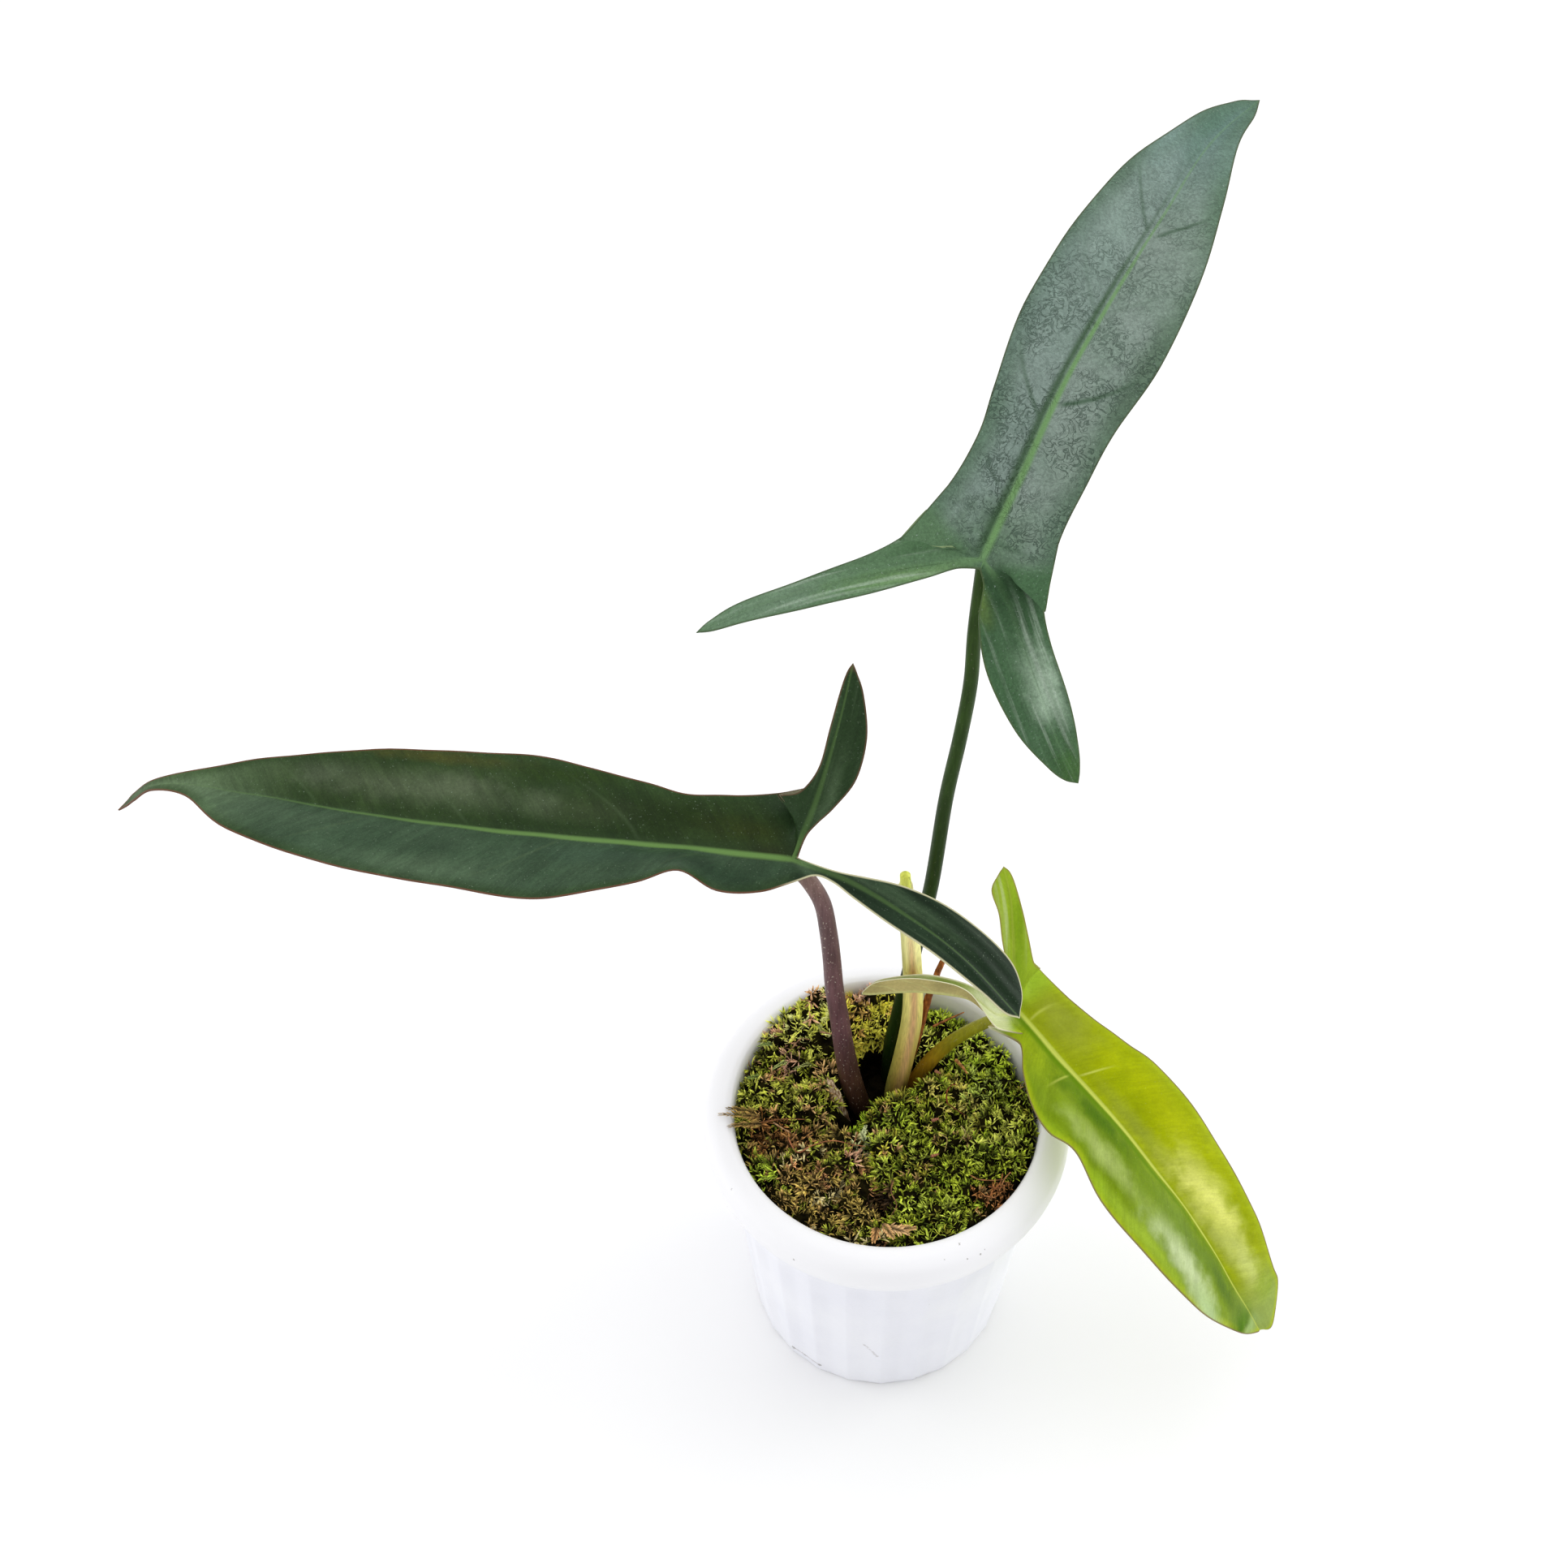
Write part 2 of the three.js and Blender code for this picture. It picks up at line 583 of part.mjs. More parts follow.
// Dry, orange-brown sheath of an older leaf, behind the new one
const OLD_SHEATH = {
  stations: [
    [[9.5, 34, 103], 1.6, -60], [[10, 34.2, 112], 1.8, -60], [[12.7, 35.2, 131], 2.2, -60],
    [[16.7, 37, 162], 2.2, -62], [[18.6, 37.7, 173], 2.1, -63], [[20.5, 38.3, 183], 1.9, -64],
    [[23, 38.8, 193], 1.6, -66], [[25.5, 39.3, 202], 1, -68],
  ],
  thickness: 0.8,
  bow: 0.5,
};
// Scrap of a withered sheath, curled against the purple stalk's foot
const DRY_SCRAP = {
  stations: [
    [[-15, 9.5, 109], 1.8, -120], [[-16.5, 10, 116], 2.2, -115], [[-19.5, 11.2, 124], 2.4, -130],
    [[-21.5, 12.5, 131], 2, -110], [[-23, 15, 138], 1.2, -135],
  ],
  thickness: 0.7,
  bow: 0.7,
};

// Stem: a short buried stem with old leaf scars, its crown socketed for the stalks, and its roots
const STEM_RINGS = [
  // height, radius
  [58, 3], [62, 7], [75, 8.6], [77, 9.4], [79, 8.8], [87, 9.4], [89, 10.6], [91, 10],
  [100, CROWN_RADIUS], [CROWN_TOP - 3, CROWN_RADIUS], [CROWN_TOP, CROWN_RADIUS - 4],
];
const STEM_SIDES = 12;
const ROOTS = 4;
const ROOT_SIDES = 6;
const ROOT_PATH = [
  // distance from the stem's middle, drop below the root's start
  [3, 0], [14, 4], [21, 18], [22, 46],
];

function makeStem(standing) {
  const [x, y] = STEM_CENTRE;
  const rings = STEM_RINGS.map(([height, radius]) => {
    const ring = [];
    for (let side = 0; side < STEM_SIDES; side++) {
      const angle = 2 * Math.PI * side / STEM_SIDES;
      ring.push(new THREE.Vector3(x + radius * Math.cos(angle), y + radius * Math.sin(angle), height));
    }
    return ring;
  });
  let stem = toSolid(loft(rings));
  for (const root of rootStalks()) {
    stem = stem.add(toSolid(stalk(root)));
  }
  for (const socket of standing) {
    stem = stem.subtract(toSolid(socket));
  }
  return toGeometry(stem);
}

function rootStalks() {
  const [x, y] = STEM_CENTRE;
  return Array.from({ length: ROOTS }, (_, index) => {
    const angle = 2 * Math.PI * (index + 0.3) / ROOTS;
    const top = 70 + 4 * (index % 3);
    return {
      points: ROOT_PATH.map(([out, drop]) => (
        [x + out * Math.cos(angle), y + out * Math.sin(angle), top - drop])),
      radii: [2.2, 1.9, 1.4, 0.8],
      steps: 5,
      sides: ROOT_SIDES,
    };
  });
}

// A closed body turned round an upright axis from [radius, height] pairs, listed upwards
function turned(profile, sides) {
  const line = profile.map(([radius, height]) => new THREE.Vector2(radius, height));
  const ends = [line[0], line.at(-1)].map((point) => new THREE.Vector2(0, point.y));
  const lathe = new THREE.LatheGeometry([ends[0], ...line, ends[1]], sides);
  lathe.rotateX(Math.PI / 2);
  return lathe;
}

// Soil: fills the pot to SOIL_TOP, with holes that fit the stem, its roots and what stands in it
const SOIL_BOTTOM = FLOOR_THICKNESS + 2;
const SOIL_SIDES = 36;

function makeSoil(standing) {
  const outside = [SOIL_BOTTOM, SOIL_TOP].map((height) => [innerRadius(height) - 2 * CLEARANCE, height]);
  let soil = toSolid(turned(outside, SOIL_SIDES));
  const hole = STEM_RINGS.map(([height, radius]) => [radius + CLEARANCE, height]);
  hole[0][1] -= CLEARANCE;
  hole.at(-1)[1] += CLEARANCE;
  const core = turned(hole, STEM_SIDES);
  core.translate(...STEM_CENTRE, 0);
  soil = soil.subtract(toSolid(core));
  for (const root of rootStalks()) {
    soil = soil.subtract(toSolid(stalk(root, 2 * CLEARANCE)));
  }
  for (const socket of standing) {
    soil = soil.subtract(toSolid(socket));
  }
  return toGeometry(soil);
}

// Moss: six cushions that meet edge to edge over the soil and leave a hollow round the crown
const MOSS_HOLLOWS = [
  // x, y, radius
  [1, 26, 16.5],
  [-11, 12, 8],
];
const MOSS = {
  moss_front_right: { seed: [28, -14], reach: 34, height: 27, material: MATERIALS.greenMoss },
  moss_front_left: { seed: [-32, -28], reach: 26, height: 26, material: MATERIALS.brownMoss },
  moss_left: { seed: [-42, 14], reach: 20, height: 28, material: MATERIALS.greenMoss },
  moss_back_left: { seed: [-36, 46], reach: 18, height: 34, material: MATERIALS.paleMoss },
  moss_back: { seed: [-6, 51], reach: 14, height: 29, material: MATERIALS.paleMoss },
  moss_back_right: { seed: [32, 46], reach: 20, height: 22, material: MATERIALS.greenMoss },
};
const MOSS_PROFILE = [
  // share of the way out, share of the height
  [1, 0], [1, 0.62], [0.96, 0.82], [0.87, 0.92], [0.68, 0.98], [0.42, 1], [0.18, 1],
];
const MOSS_SIDES = 26;
const LUMP_HEIGHT = 2;
const LUMP_SPACING = 24;

// How far a cushion reaches from its seed in one direction before the pot, a neighbour or a hollow
function mossReach(cushion, angle, height) {
  const [x, y] = cushion.seed;
  const [dx, dy] = [Math.cos(angle), Math.sin(angle)];
  const along = x * dx + y * dy;
  const wall = innerRadius(height) - 2 * CLEARANCE;
  let reach = -along + Math.sqrt(along ** 2 + wall ** 2 - x ** 2 - y ** 2);
  for (const other of Object.values(MOSS)) {
    if (other !== cushion) {
      const [ox, oy] = [other.seed[0] - x, other.seed[1] - y];
      const apart = Math.hypot(ox, oy);
      const toEdge = (apart ** 2 + cushion.reach ** 2 - other.reach ** 2) / (2 * apart) - CLEARANCE;
      const towards = (ox * dx + oy * dy) / apart;
      if (towards > 0) {
        reach = Math.min(reach, toEdge / towards);
      }
    }
  }
  for (const [hx, hy, radius] of MOSS_HOLLOWS) {
    const [ox, oy] = [hx - x, hy - y];
    const nearest = ox * dx + oy * dy;
    const inside = radius ** 2 - (ox ** 2 + oy ** 2 - nearest ** 2);
    if (nearest > 0 && inside > 0) {
      reach = Math.min(reach, nearest - Math.sqrt(inside));
    }
  }
  return reach;
}

// The height of the moss's humps: one broad pattern of waves that cross, and a finer one over it
function mossLumps(x, y) {
  const wave = 2 * Math.PI / LUMP_SPACING;
  const broad = Math.sin(wave * (x + 0.4 * y)) * Math.cos(wave * (0.9 * y - 0.3 * x));
  const fine = Math.sin(1.7 * wave * (y - 0.6 * x) + 1);
  return LUMP_HEIGHT * (broad + 0.5 * fine);
}

function makeCushion(cushion) {
  const [x, y] = cushion.seed;
  const foot = SOIL_TOP + CLEARANCE;
  const rings = MOSS_PROFILE.map(([out, up]) => {
    const ring = [];
    for (let side = 0; side < MOSS_SIDES; side++) {
      const angle = 2 * Math.PI * side / MOSS_SIDES;
      const reach = out * mossReach(cushion, angle, foot + up * cushion.height);
      const [px, py] = [x + reach * Math.cos(angle), y + reach * Math.sin(angle)];
      ring.push(new THREE.Vector3(px, py, foot + up * (cushion.height + mossLumps(px, py))));
    }
    return ring;
  });
  return loft(rings);
}

// Assembly
makePot();
makeLeaf('tall_leaf', TALL_BLADE, TALL_STALK, MATERIALS.greyGreenLeaf);
makeLeaf('left_leaf', LEFT_BLADE, LEFT_STALK, MATERIALS.darkLeaf);
makeLeaf('lime_leaf', LIME_BLADE, LIME_STALK, MATERIALS.limeLeaf);
addPart('new_leaf', stalk(NEW_LEAF), MATERIALS.newLeaf);
addPart('new_leaf_sheath', makeSheath(), MATERIALS.sheath);
addPart('old_leaf_sheath', makeStrip(OLD_SHEATH), MATERIALS.dryBrown);
addPart('dry_sheath_scrap', makeStrip(DRY_SCRAP), MATERIALS.dryBrown);

const stalkSockets = [TALL_STALK, LEFT_STALK, LIME_STALK].map((stem) => stalk(stem, CLEARANCE));
const spikeSocket = stalk({ points: SPIKE_PATH, radii: SHEATH.radii, steps: 13, sides: 12 }, CLEARANCE);
const sockets = [...stalkSockets, spikeSocket, stripSocket(OLD_SHEATH)];
addPart('stem', makeStem(sockets), MATERIALS.stem);
addPart('soil', makeSoil(sockets), MATERIALS.soil);
for (const [name, cushion] of Object.entries(MOSS)) {
  let moss = toSolid(makeCushion(cushion));
  for (const socket of [...sockets, stripSocket(DRY_SCRAP)]) {
    moss = moss.subtract(toSolid(socket));
  }
  addPart(name, toGeometry(moss), cushion.material);
}

export default plant;
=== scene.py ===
# Looks of a potted philodendron mexicanum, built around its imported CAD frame.
# Named sizes are millimetres in the part's frame. Meshes are made in millimetres and scaled by MM at the end.
import math

import bpy
import numpy as np
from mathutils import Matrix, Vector


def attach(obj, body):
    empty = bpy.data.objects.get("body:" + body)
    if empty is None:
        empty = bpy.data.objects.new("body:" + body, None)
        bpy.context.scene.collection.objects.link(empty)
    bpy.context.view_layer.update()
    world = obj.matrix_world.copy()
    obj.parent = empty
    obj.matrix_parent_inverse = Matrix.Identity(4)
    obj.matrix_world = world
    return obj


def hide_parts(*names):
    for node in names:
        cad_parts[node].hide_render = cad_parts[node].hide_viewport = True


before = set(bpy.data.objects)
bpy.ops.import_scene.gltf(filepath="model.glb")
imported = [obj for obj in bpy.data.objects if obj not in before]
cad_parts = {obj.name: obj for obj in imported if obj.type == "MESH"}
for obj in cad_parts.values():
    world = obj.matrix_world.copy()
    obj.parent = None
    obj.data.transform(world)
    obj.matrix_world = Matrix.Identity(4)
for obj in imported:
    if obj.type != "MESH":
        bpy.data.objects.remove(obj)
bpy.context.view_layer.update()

MM = 0.001
SEED = 27
CURVE_STEPS = 600                 # in which a curve's length is measured
WELDS_PER_MM = 1e4                # points become one when they lie nearer to each other than one of these

# Driving dimensions, as in the part
POT_HEIGHT = 140
RIM_RADIUS = 75
MOUTH_RADIUS = 63
BASE_RADIUS = 54
FLUTES = 24
LIP_HEIGHT = 118
WALL_TOP_RADIUS = 65.2
FLOOR_THICKNESS = 3.5
INNER_FLOOR_RADIUS = 50.5
INNER_TOP = 136
INNER_TOP_RADIUS = 62.3
SOIL_TOP = 108
CLEARANCE = 0.3


# Curves and numbers along them
def spline(points, share):
    """Points of a Catmull-Rom curve through the given ones, at shares of its number of points."""
    points = np.asarray(points, float)
    padded = np.vstack([2 * points[0] - points[1], points, 2 * points[-1] - points[-2]])
    place = np.clip(np.atleast_1d(share), 0, 1) * (len(points) - 1)
    index = np.minimum(place.astype(int), len(points) - 2)
    t = (place - index)[:, None]
    a, b, c, d = (padded[index + k] for k in range(4))
    bend = (2 * a - 5 * b + 4 * c - d) * t ** 2 + (3 * b - a - 3 * c + d) * t ** 3
    return 0.5 * (2 * b + (c - a) * t + bend)


def evenly(points, count):
    """Points of the same curve, spaced evenly along its length, and that length."""
    fine = spline(points, np.linspace(0, 1, CURVE_STEPS))
    gone = np.concatenate([[0], np.cumsum(np.linalg.norm(np.diff(fine, axis=0), axis=1))])
    wanted = np.linspace(0, gone[-1], count)
    return np.stack([np.interp(wanted, gone, fine[:, axis]) for axis in range(3)], axis=1), gone[-1]


def along(values, share):
    """A list of numbers or points, spread evenly over 0 to 1 and read at shares."""
    values = np.asarray(values, float)
    places = np.linspace(0, 1, len(values))
    if values.ndim == 1:
        return np.interp(share, places, values)
    return np.stack([np.interp(share, places, values[:, axis]) for axis in range(values.shape[1])], axis=-1)


def unit(vectors):
    return vectors / np.maximum(np.linalg.norm(vectors, axis=-1, keepdims=True), 1e-12)


def step_up(values, low, high):
    """0 below low, 1 above high, smooth between them. The other way round where low is above high."""
    t = np.clip((values - low) / (high - low), 0, 1)
    return t * t * (3 - 2 * t)


def bump(values, width):
    return np.exp(-(values / width) ** 2)


def waves(points, size, seed, count=5):
    """Soft seeded noise of about the given size, between -1 and 1, from waves that cross."""
    rng = np.random.default_rng(seed)
    total = np.zeros(len(points))
    for _ in range(count):
        direction = unit(rng.normal(size=points.shape[1]))
        stretch = rng.uniform(0.7, 1.5)
        total += np.sin(points @ direction * 2 * math.pi * stretch / size + rng.uniform(0, 2 * math.pi))
    return total / count


def linear(colour):
    """A colour of 0 to 255, as the eye sees it, in the linear numbers that shaders take. Others stay."""
    if isinstance(colour, bpy.types.NodeSocket) or len(colour) == 4:
        return colour
    channels = [value / 255 for value in colour]
    return tuple(c / 12.92 if c <= 0.04045 else ((c + 0.055) / 1.055) ** 2.4 for c in channels) + (1.0,)


# Meshes
def grid_faces(rows, columns, start=0, closed=False):
    """Squares between rows of points. A closed row joins its last point to its first."""
    row = np.arange(rows - 1)[:, None] * columns
    column = np.arange(columns if closed else columns - 1)[None, :]
    after = (column + 1) % columns
    a, b = row + column, row + after
    return (np.stack([a, b, b + columns, a + columns], axis=-1).reshape(-1, 4) + start).tolist()


def ring_faces(rings, sides):
    """Faces of a body of closed rings, shut at each end by a point. Those two points come after the rings."""
    faces = grid_faces(rings, sides, closed=True)
    first, last = rings * sides, (rings - 1) * sides
    for side in range(sides):
        after = (side + 1) % sides
        faces.append([first, after, side])
        faces.append([first + 1, last + side, last + after])
    return faces


def triangles_of(faces):
    return [[face[0], face[k], face[k + 1]] for face in faces for k in range(1, len(face) - 1)]


def normals_of(points, faces):
    """Smooth normals, the mean of the faces that meet at each point."""
    total = np.zeros_like(points)
    for face in faces:
        corners = points[face]
        normal = np.cross(corners[1] - corners[0], corners[-1] - corners[0])
        if len(face) == 4:
            normal = normal + np.cross(corners[3] - corners[2], corners[1] - corners[2])
        for index in face:
            total[index] += normal
    return unit(total)


def weld(points, faces):
    """Points that lie on each other become one. Gives the points kept, the faces, and each one's origin."""
    keys = np.round(points * WELDS_PER_MM).astype(np.int64)
    _, kept, place = np.unique(keys, axis=0, return_index=True, return_inverse=True)
    place = place.reshape(-1)
    joined = []
    for face in faces:
        corners = list(dict.fromkeys(int(place[index]) for index in face))
        if len(corners) > 2:
            joined.append(corners)
    return points[kept], joined, kept


def open_edges(faces):
    """Edges with a face on one side only, in the direction in which that face has them."""
    found = {}
    for face in faces:
        for start, end in zip(face, face[1:] + face[:1]):
            if found.pop((end, start), None) is None:
                found[(start, end)] = True
    return list(found)


def thicken(points, below, faces, values, rim_mark):
    """A thin closed body between two layers of points: its points, faces, values and one material number a
    face, which is 0 above, 1 below and rim_mark round the edge."""
    count = len(points)
    under = [[index + count for index in reversed(face)] for face in faces]
    rim = [[end, start, start + count, end + count] for start, end in open_edges(faces)]
    doubled = {label: np.tile(numbers.reshape(-1), 2) for label, numbers in values.items()}
    marks = [0] * len(faces) + [1] * len(under) + [rim_mark] * len(rim)
    return np.concatenate([points, below]), faces + under + rim, doubled, marks


def thick_sheet(net, thickness, values, rim_mark):
    """The same from a net of points, thickened away from the side that its rows face."""
    points = net.reshape(-1, 3)
    faces = grid_faces(*net.shape[:2])
    return thicken(points, points - normals_of(points, faces) * thickness, faces, values, rim_mark)


def new_object(name, points, faces):
    """An object in the scene, from points in millimetres."""
    mesh = bpy.data.meshes.new(name)
    mesh.from_pydata((np.asarray(points) * MM).tolist(), [], faces)
    made = bpy.data.objects.new(name, mesh)
    bpy.context.scene.collection.objects.link(made)
    return made


def add_piece(name, points, faces, materials, replaces=(), values=None, tint=None, marks=None,
              *, sharp):
    """A mesh piece of the object, which rides on the pot's body. values are numbers and tint is a colour at
    each point, marks one material number a face. sharp is the angle, in degrees, from which an edge looks
    sharp; flat shading where it is 0."""
    piece = new_object(name, points, faces)
    mesh = piece.data
    for material in materials:
        mesh.materials.append(material)
    for label, numbers in (values or {}).items():
        layer = mesh.attributes.new(label, "FLOAT", "POINT")
        layer.data.foreach_set("value", np.asarray(numbers, np.float32))
    if tint is not None:
        layer = mesh.attributes.new("tint", "FLOAT_COLOR", "POINT")
        layer.data.foreach_set("color", np.asarray(tint, np.float32).reshape(-1))
    if marks is not None:
        mesh.polygons.foreach_set("material_index", np.asarray(marks, np.int32))
    if sharp == 0:
        mesh.shade_flat()
    else:
        mesh.shade_smooth()
        mesh.set_sharp_from_angle(angle=math.radians(sharp))
    mesh.update()
    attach(piece, "root")
    if replaces:
        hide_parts(*replaces)
    return piece


# Materials
NOISE_RANGE = (0.3, 0.7)          # nearly all of a noise lies between these


class Shader:
    """A Principled material whose colour, roughness and bump are worked out by nodes. Colours are as linear
    takes them."""

    def __init__(self, name, roughness, gloss):
        self.material = bpy.data.materials.new(name)
        self.material.use_nodes = True
        self.tree = self.material.node_tree
        self.surface = self.tree.nodes["Principled BSDF"]
        self.surface.inputs["Roughness"].default_value = roughness
        self.surface.inputs["Specular IOR Level"].default_value = gloss
        self.place = self.node("TexCoord").outputs["Object"]

    def put(self, socket, value):
        if isinstance(value, bpy.types.NodeSocket):
            self.tree.links.new(value, socket)
        else:
            socket.default_value = value

    def node(self, kind, inputs=None, **settings):
        node = self.tree.nodes.new("ShaderNode" + kind)
        for name, value in settings.items():
            setattr(node, name, value)
        for key, value in (inputs or {}).items():
            self.put(node.inputs[key], value)
        return node

    def value(self, name):
        """A number that lies on the mesh."""
        return self.node("Attribute", attribute_name=name).outputs["Fac"]

    def math(self, operation, *values):
        return self.node("Math", dict(enumerate(values)), operation=operation).outputs[0]

    def times(self, *factors):
        """The product of several factors."""
        total = factors[0]
        for factor in factors[1:]:
            total = self.math("MULTIPLY", total, factor)
        return total

    def rest(self, share):
        """What the share leaves of 1."""
        return self.math("SUBTRACT", 1.0, share)

    def noise(self, size, detail=3, rough=0.55, place=None, twist=0, stretch=None):
        """Noise with features of about size millimetres, or of that size in the units of place."""
        where = place or self.place
        if stretch:
            where = self.node("Mapping", {"Vector": where, "Scale": stretch}).outputs[0]
        inputs = {
            "Vector": where, "Scale": 1 / size if place else 1 / (size * MM), "Detail": detail,
            "Roughness": rough, "Distortion": twist,
        }
        return self.node("TexNoise", inputs).outputs["Fac"]

    def grain(self, size, detail=4, along=1.0):
        """Noise of a grain that is drawn out upwards where along is under 1."""
        return self.noise(size, detail, stretch=(1, 1, along))

    def ramp(self, value, low, high, start=0.0, end=1.0):
        inputs = {"Value": value, "From Min": low, "From Max": high, "To Min": start, "To Max": end}
        return self.node("MapRange", inputs, interpolation_type="SMOOTHSTEP").outputs["Result"]

    def near(self, value, centre, width):
        """1 where value is at centre, falling to 0 at width from it."""
        apart = self.math("ABSOLUTE", self.math("SUBTRACT", value, centre))
        return self.ramp(apart, 0, width, 1, 0)

    def mix(self, factor, first, second, blend="MIX"):
        inputs = {0: factor, 6: linear(first), 7: linear(second)}
        return self.node("Mix", inputs, data_type="RGBA", blend_type=blend).outputs[2]

    def between(self, factor, first, second):
        """A number that goes from first to second with the factor."""
        return self.math("ADD", first, self.times(factor, self.math("SUBTRACT", second, first)))

    def shade(self, colour, amount):
        """The colour times a number."""
        grey = self.node("CombineColor", {0: amount, 1: amount, 2: amount}).outputs[0]
        return self.mix(1.0, colour, grey, "MULTIPLY")

    def vary(self, colour, noise, low, high, span=NOISE_RANGE):
        """The colour times a number that goes from low to high while the noise goes over the span."""
        return self.shade(colour, self.ramp(noise, *span, low, high))

    def vector(self, operation, first, second):
        """A vector sum, or a distance or dot product as a number."""
        outputs = self.node("VectorMath", {0: first, 1: second}, operation=operation).outputs
        return outputs[0] if operation == "SUBTRACT" else outputs["Value"]

    def spot(self, away, width, solid, uneven):
        """1 where away is within the solid share of width, fading to 0 at width, unevenly."""
        ragged = self.times(away, uneven)
        return self.ramp(ragged, width * MM, width * MM * solid)

    def dot(self, point, radius):
        """1 within radius of a point in the part's frame, fading to 0 at its ragged edge."""
        away = self.vector("DISTANCE", self.place, tuple(value * MM for value in point))
        return self.spot(away, radius, 0.5, self.ramp(self.noise(radius * 0.8), *NOISE_RANGE, 0.6, 1.5))

    def streak(self, start, end, width):
        """1 within width of a straight line between two points, fading to 0 at its ragged edge."""
        start, end = Vector(start) * MM, Vector(end) * MM
        reach = (end - start).length
        direction = tuple((end - start) / reach)
        apart = self.vector("SUBTRACT", self.place, tuple(start))
        gone = self.vector("DOT_PRODUCT", apart, direction)
        held = self.node("Clamp", {"Value": gone, "Min": 0.0, "Max": reach}).outputs[0]
        foot = self.node("VectorMath", {0: direction, "Scale": held}, operation="SCALE").outputs[0]
        away = self.vector("DISTANCE", apart, foot)
        return self.spot(away, width, 0.4, self.ramp(self.noise(2.0), *NOISE_RANGE, 0.7, 1.6))

    def finish(self, colour, height=None, bump_mm=0.1, roughness=None):
        self.put(self.surface.inputs["Base Color"], linear(colour))
        if roughness is not None:
            self.put(self.surface.inputs["Roughness"], roughness)
        if height is not None:
            inputs = {"Height": height, "Distance": bump_mm * MM, "Strength": 1.0}
            self.put(self.surface.inputs["Normal"], self.node("Bump", inputs).outputs[0])
        return self.material


def clouded_material(name, rough, gloss, size, detail, spread, dark, pale, bump_size, bump):
    """Dark and pale in soft patches, over a bumpy ground."""
    shader = Shader(name, rough, gloss)
    colour = shader.mix(shader.ramp(shader.noise(size, detail), *spread), dark, pale)
    return shader.finish(colour, shader.noise(bump_size, detail), bump)


def tinted_material(name, gloss, size, low):
    """The colour that lies on the mesh, with a fine grain."""
    shader = Shader(name, 0.6, gloss)
    tint = shader.node("Attribute", attribute_name="tint").outputs["Color"]
    return shader.finish(shader.vary(tint, shader.noise(size), low, 1.2))


# Camera: the view that was fitted to the pot's rim, mouth and foot in the photograph
CAMERA_PLACE = (-41.79, -629.16, 1156.51)
CAMERA_DOWN = 51.92               # degrees below level
PHOTO_SIDE = 1932                 # pixels
FOCAL_LENGTH = 3600               # pixels
SENSOR = 36.0


def add_camera():
    data = bpy.data.cameras.new("camera")
    data.sensor_width = SENSOR
    data.lens = SENSOR * FOCAL_LENGTH / PHOTO_SIDE
    data.clip_end = 30
    camera = bpy.data.objects.new("camera", data)
    camera.location = [value * MM for value in CAMERA_PLACE]
    camera.rotation_euler = (math.radians(90 - CAMERA_DOWN), 0, 0)
    bpy.context.scene.collection.objects.link(camera)
    bpy.context.scene.camera = camera


# Light: an even white room, a broad softbox above the plant, and a weaker one low on either side
WORLD_STRENGTH = 0.8
SOFTBOXES = [
    # name, place in metres, aim in metres, width in metres, power in watts
    ("top_softbox", (-0.15, 0.4, 2.1), (0, 0.05, 0.2), 2.8, 17),
    ("left_softbox", (-1.5, 0.15, 0.55), (0, 0, 0.12), 1.3, 5.5),
    ("right_softbox", (1.4, 0.4, 0.45), (0, 0, 0.12), 1.3, 10),
]


def add_lights():
    world = bpy.data.worlds.new("white_room")
    world.use_nodes = True
    background = world.node_tree.nodes["Background"]
    background.inputs["Color"].default_value = (1, 1, 1, 1)
    background.inputs["Strength"].default_value = WORLD_STRENGTH
    bpy.context.scene.world = world
    for name, place, aim, width, power in SOFTBOXES:
        data = bpy.data.lights.new(name, "AREA")
        data.shape = "DISK"
        data.size = width
        data.energy = power
        light = bpy.data.objects.new(name, data)
        light.location = place
        light.rotation_euler = (Vector(aim) - Vector(place)).to_track_quat("-Z", "Y").to_euler()
        bpy.context.scene.collection.objects.link(light)
    bpy.context.scene.view_settings.view_transform = "Standard"


FLOOR_SIDE = 8000
FLOOR_COLOUR = (0.93, 0.93, 0.935, 1)


def add_floor():
    half = FLOOR_SIDE / 2
    floor = new_object("floor", [(-half, -half, 0), (half, -half, 0), (half, half, 0), (-half, half, 0)],
                       [(0, 1, 2, 3)])
    floor.data.materials.append(Shader("floor_white", 0.9, 0.1).finish(FLOOR_COLOUR))


# Pot: the part's outline with its rim rounded by a curve, turned in fine steps, with soft flat panels
FLUTE_DEPTH = 0.7
STEPS_PER_FLUTE = 14
RIDGE_SOFTNESS = 0.12
RIM_CURVE = [
    # radius, height: from the lip's underside over the rolled rim to the mouth
    (RIM_RADIUS - 4.2, LIP_HEIGHT), (RIM_RADIUS - 3, LIP_HEIGHT + 0.7), (RIM_RADIUS - 1.9, LIP_HEIGHT + 3.2),
    (RIM_RADIUS - 0.6, LIP_HEIGHT + 7.5), (RIM_RADIUS, LIP_HEIGHT + 12.5), (RIM_RADIUS - 1.3, POT_HEIGHT - 4),
    (RIM_RADIUS - 5, POT_HEIGHT - 0.9), (RIM_RADIUS - 9, POT_HEIGHT), (MOUTH_RADIUS + 0.8, POT_HEIGHT - 0.8),
    (MOUTH_RADIUS, POT_HEIGHT - 1.8),
]
RIM_STEPS = 44
FOOT_OUTLINE = [
    # radius, height, share of a flute's depth
    (1, 0, 0), (30, 0, 0), (BASE_RADIUS - 3.5, 0, 0), (BASE_RADIUS - 1.6, 0.25, 0.2),
    (BASE_RADIUS - 0.6, 1.1, 0.7), (BASE_RADIUS, 2.8, 1),
]
WALL_STEPS = 11
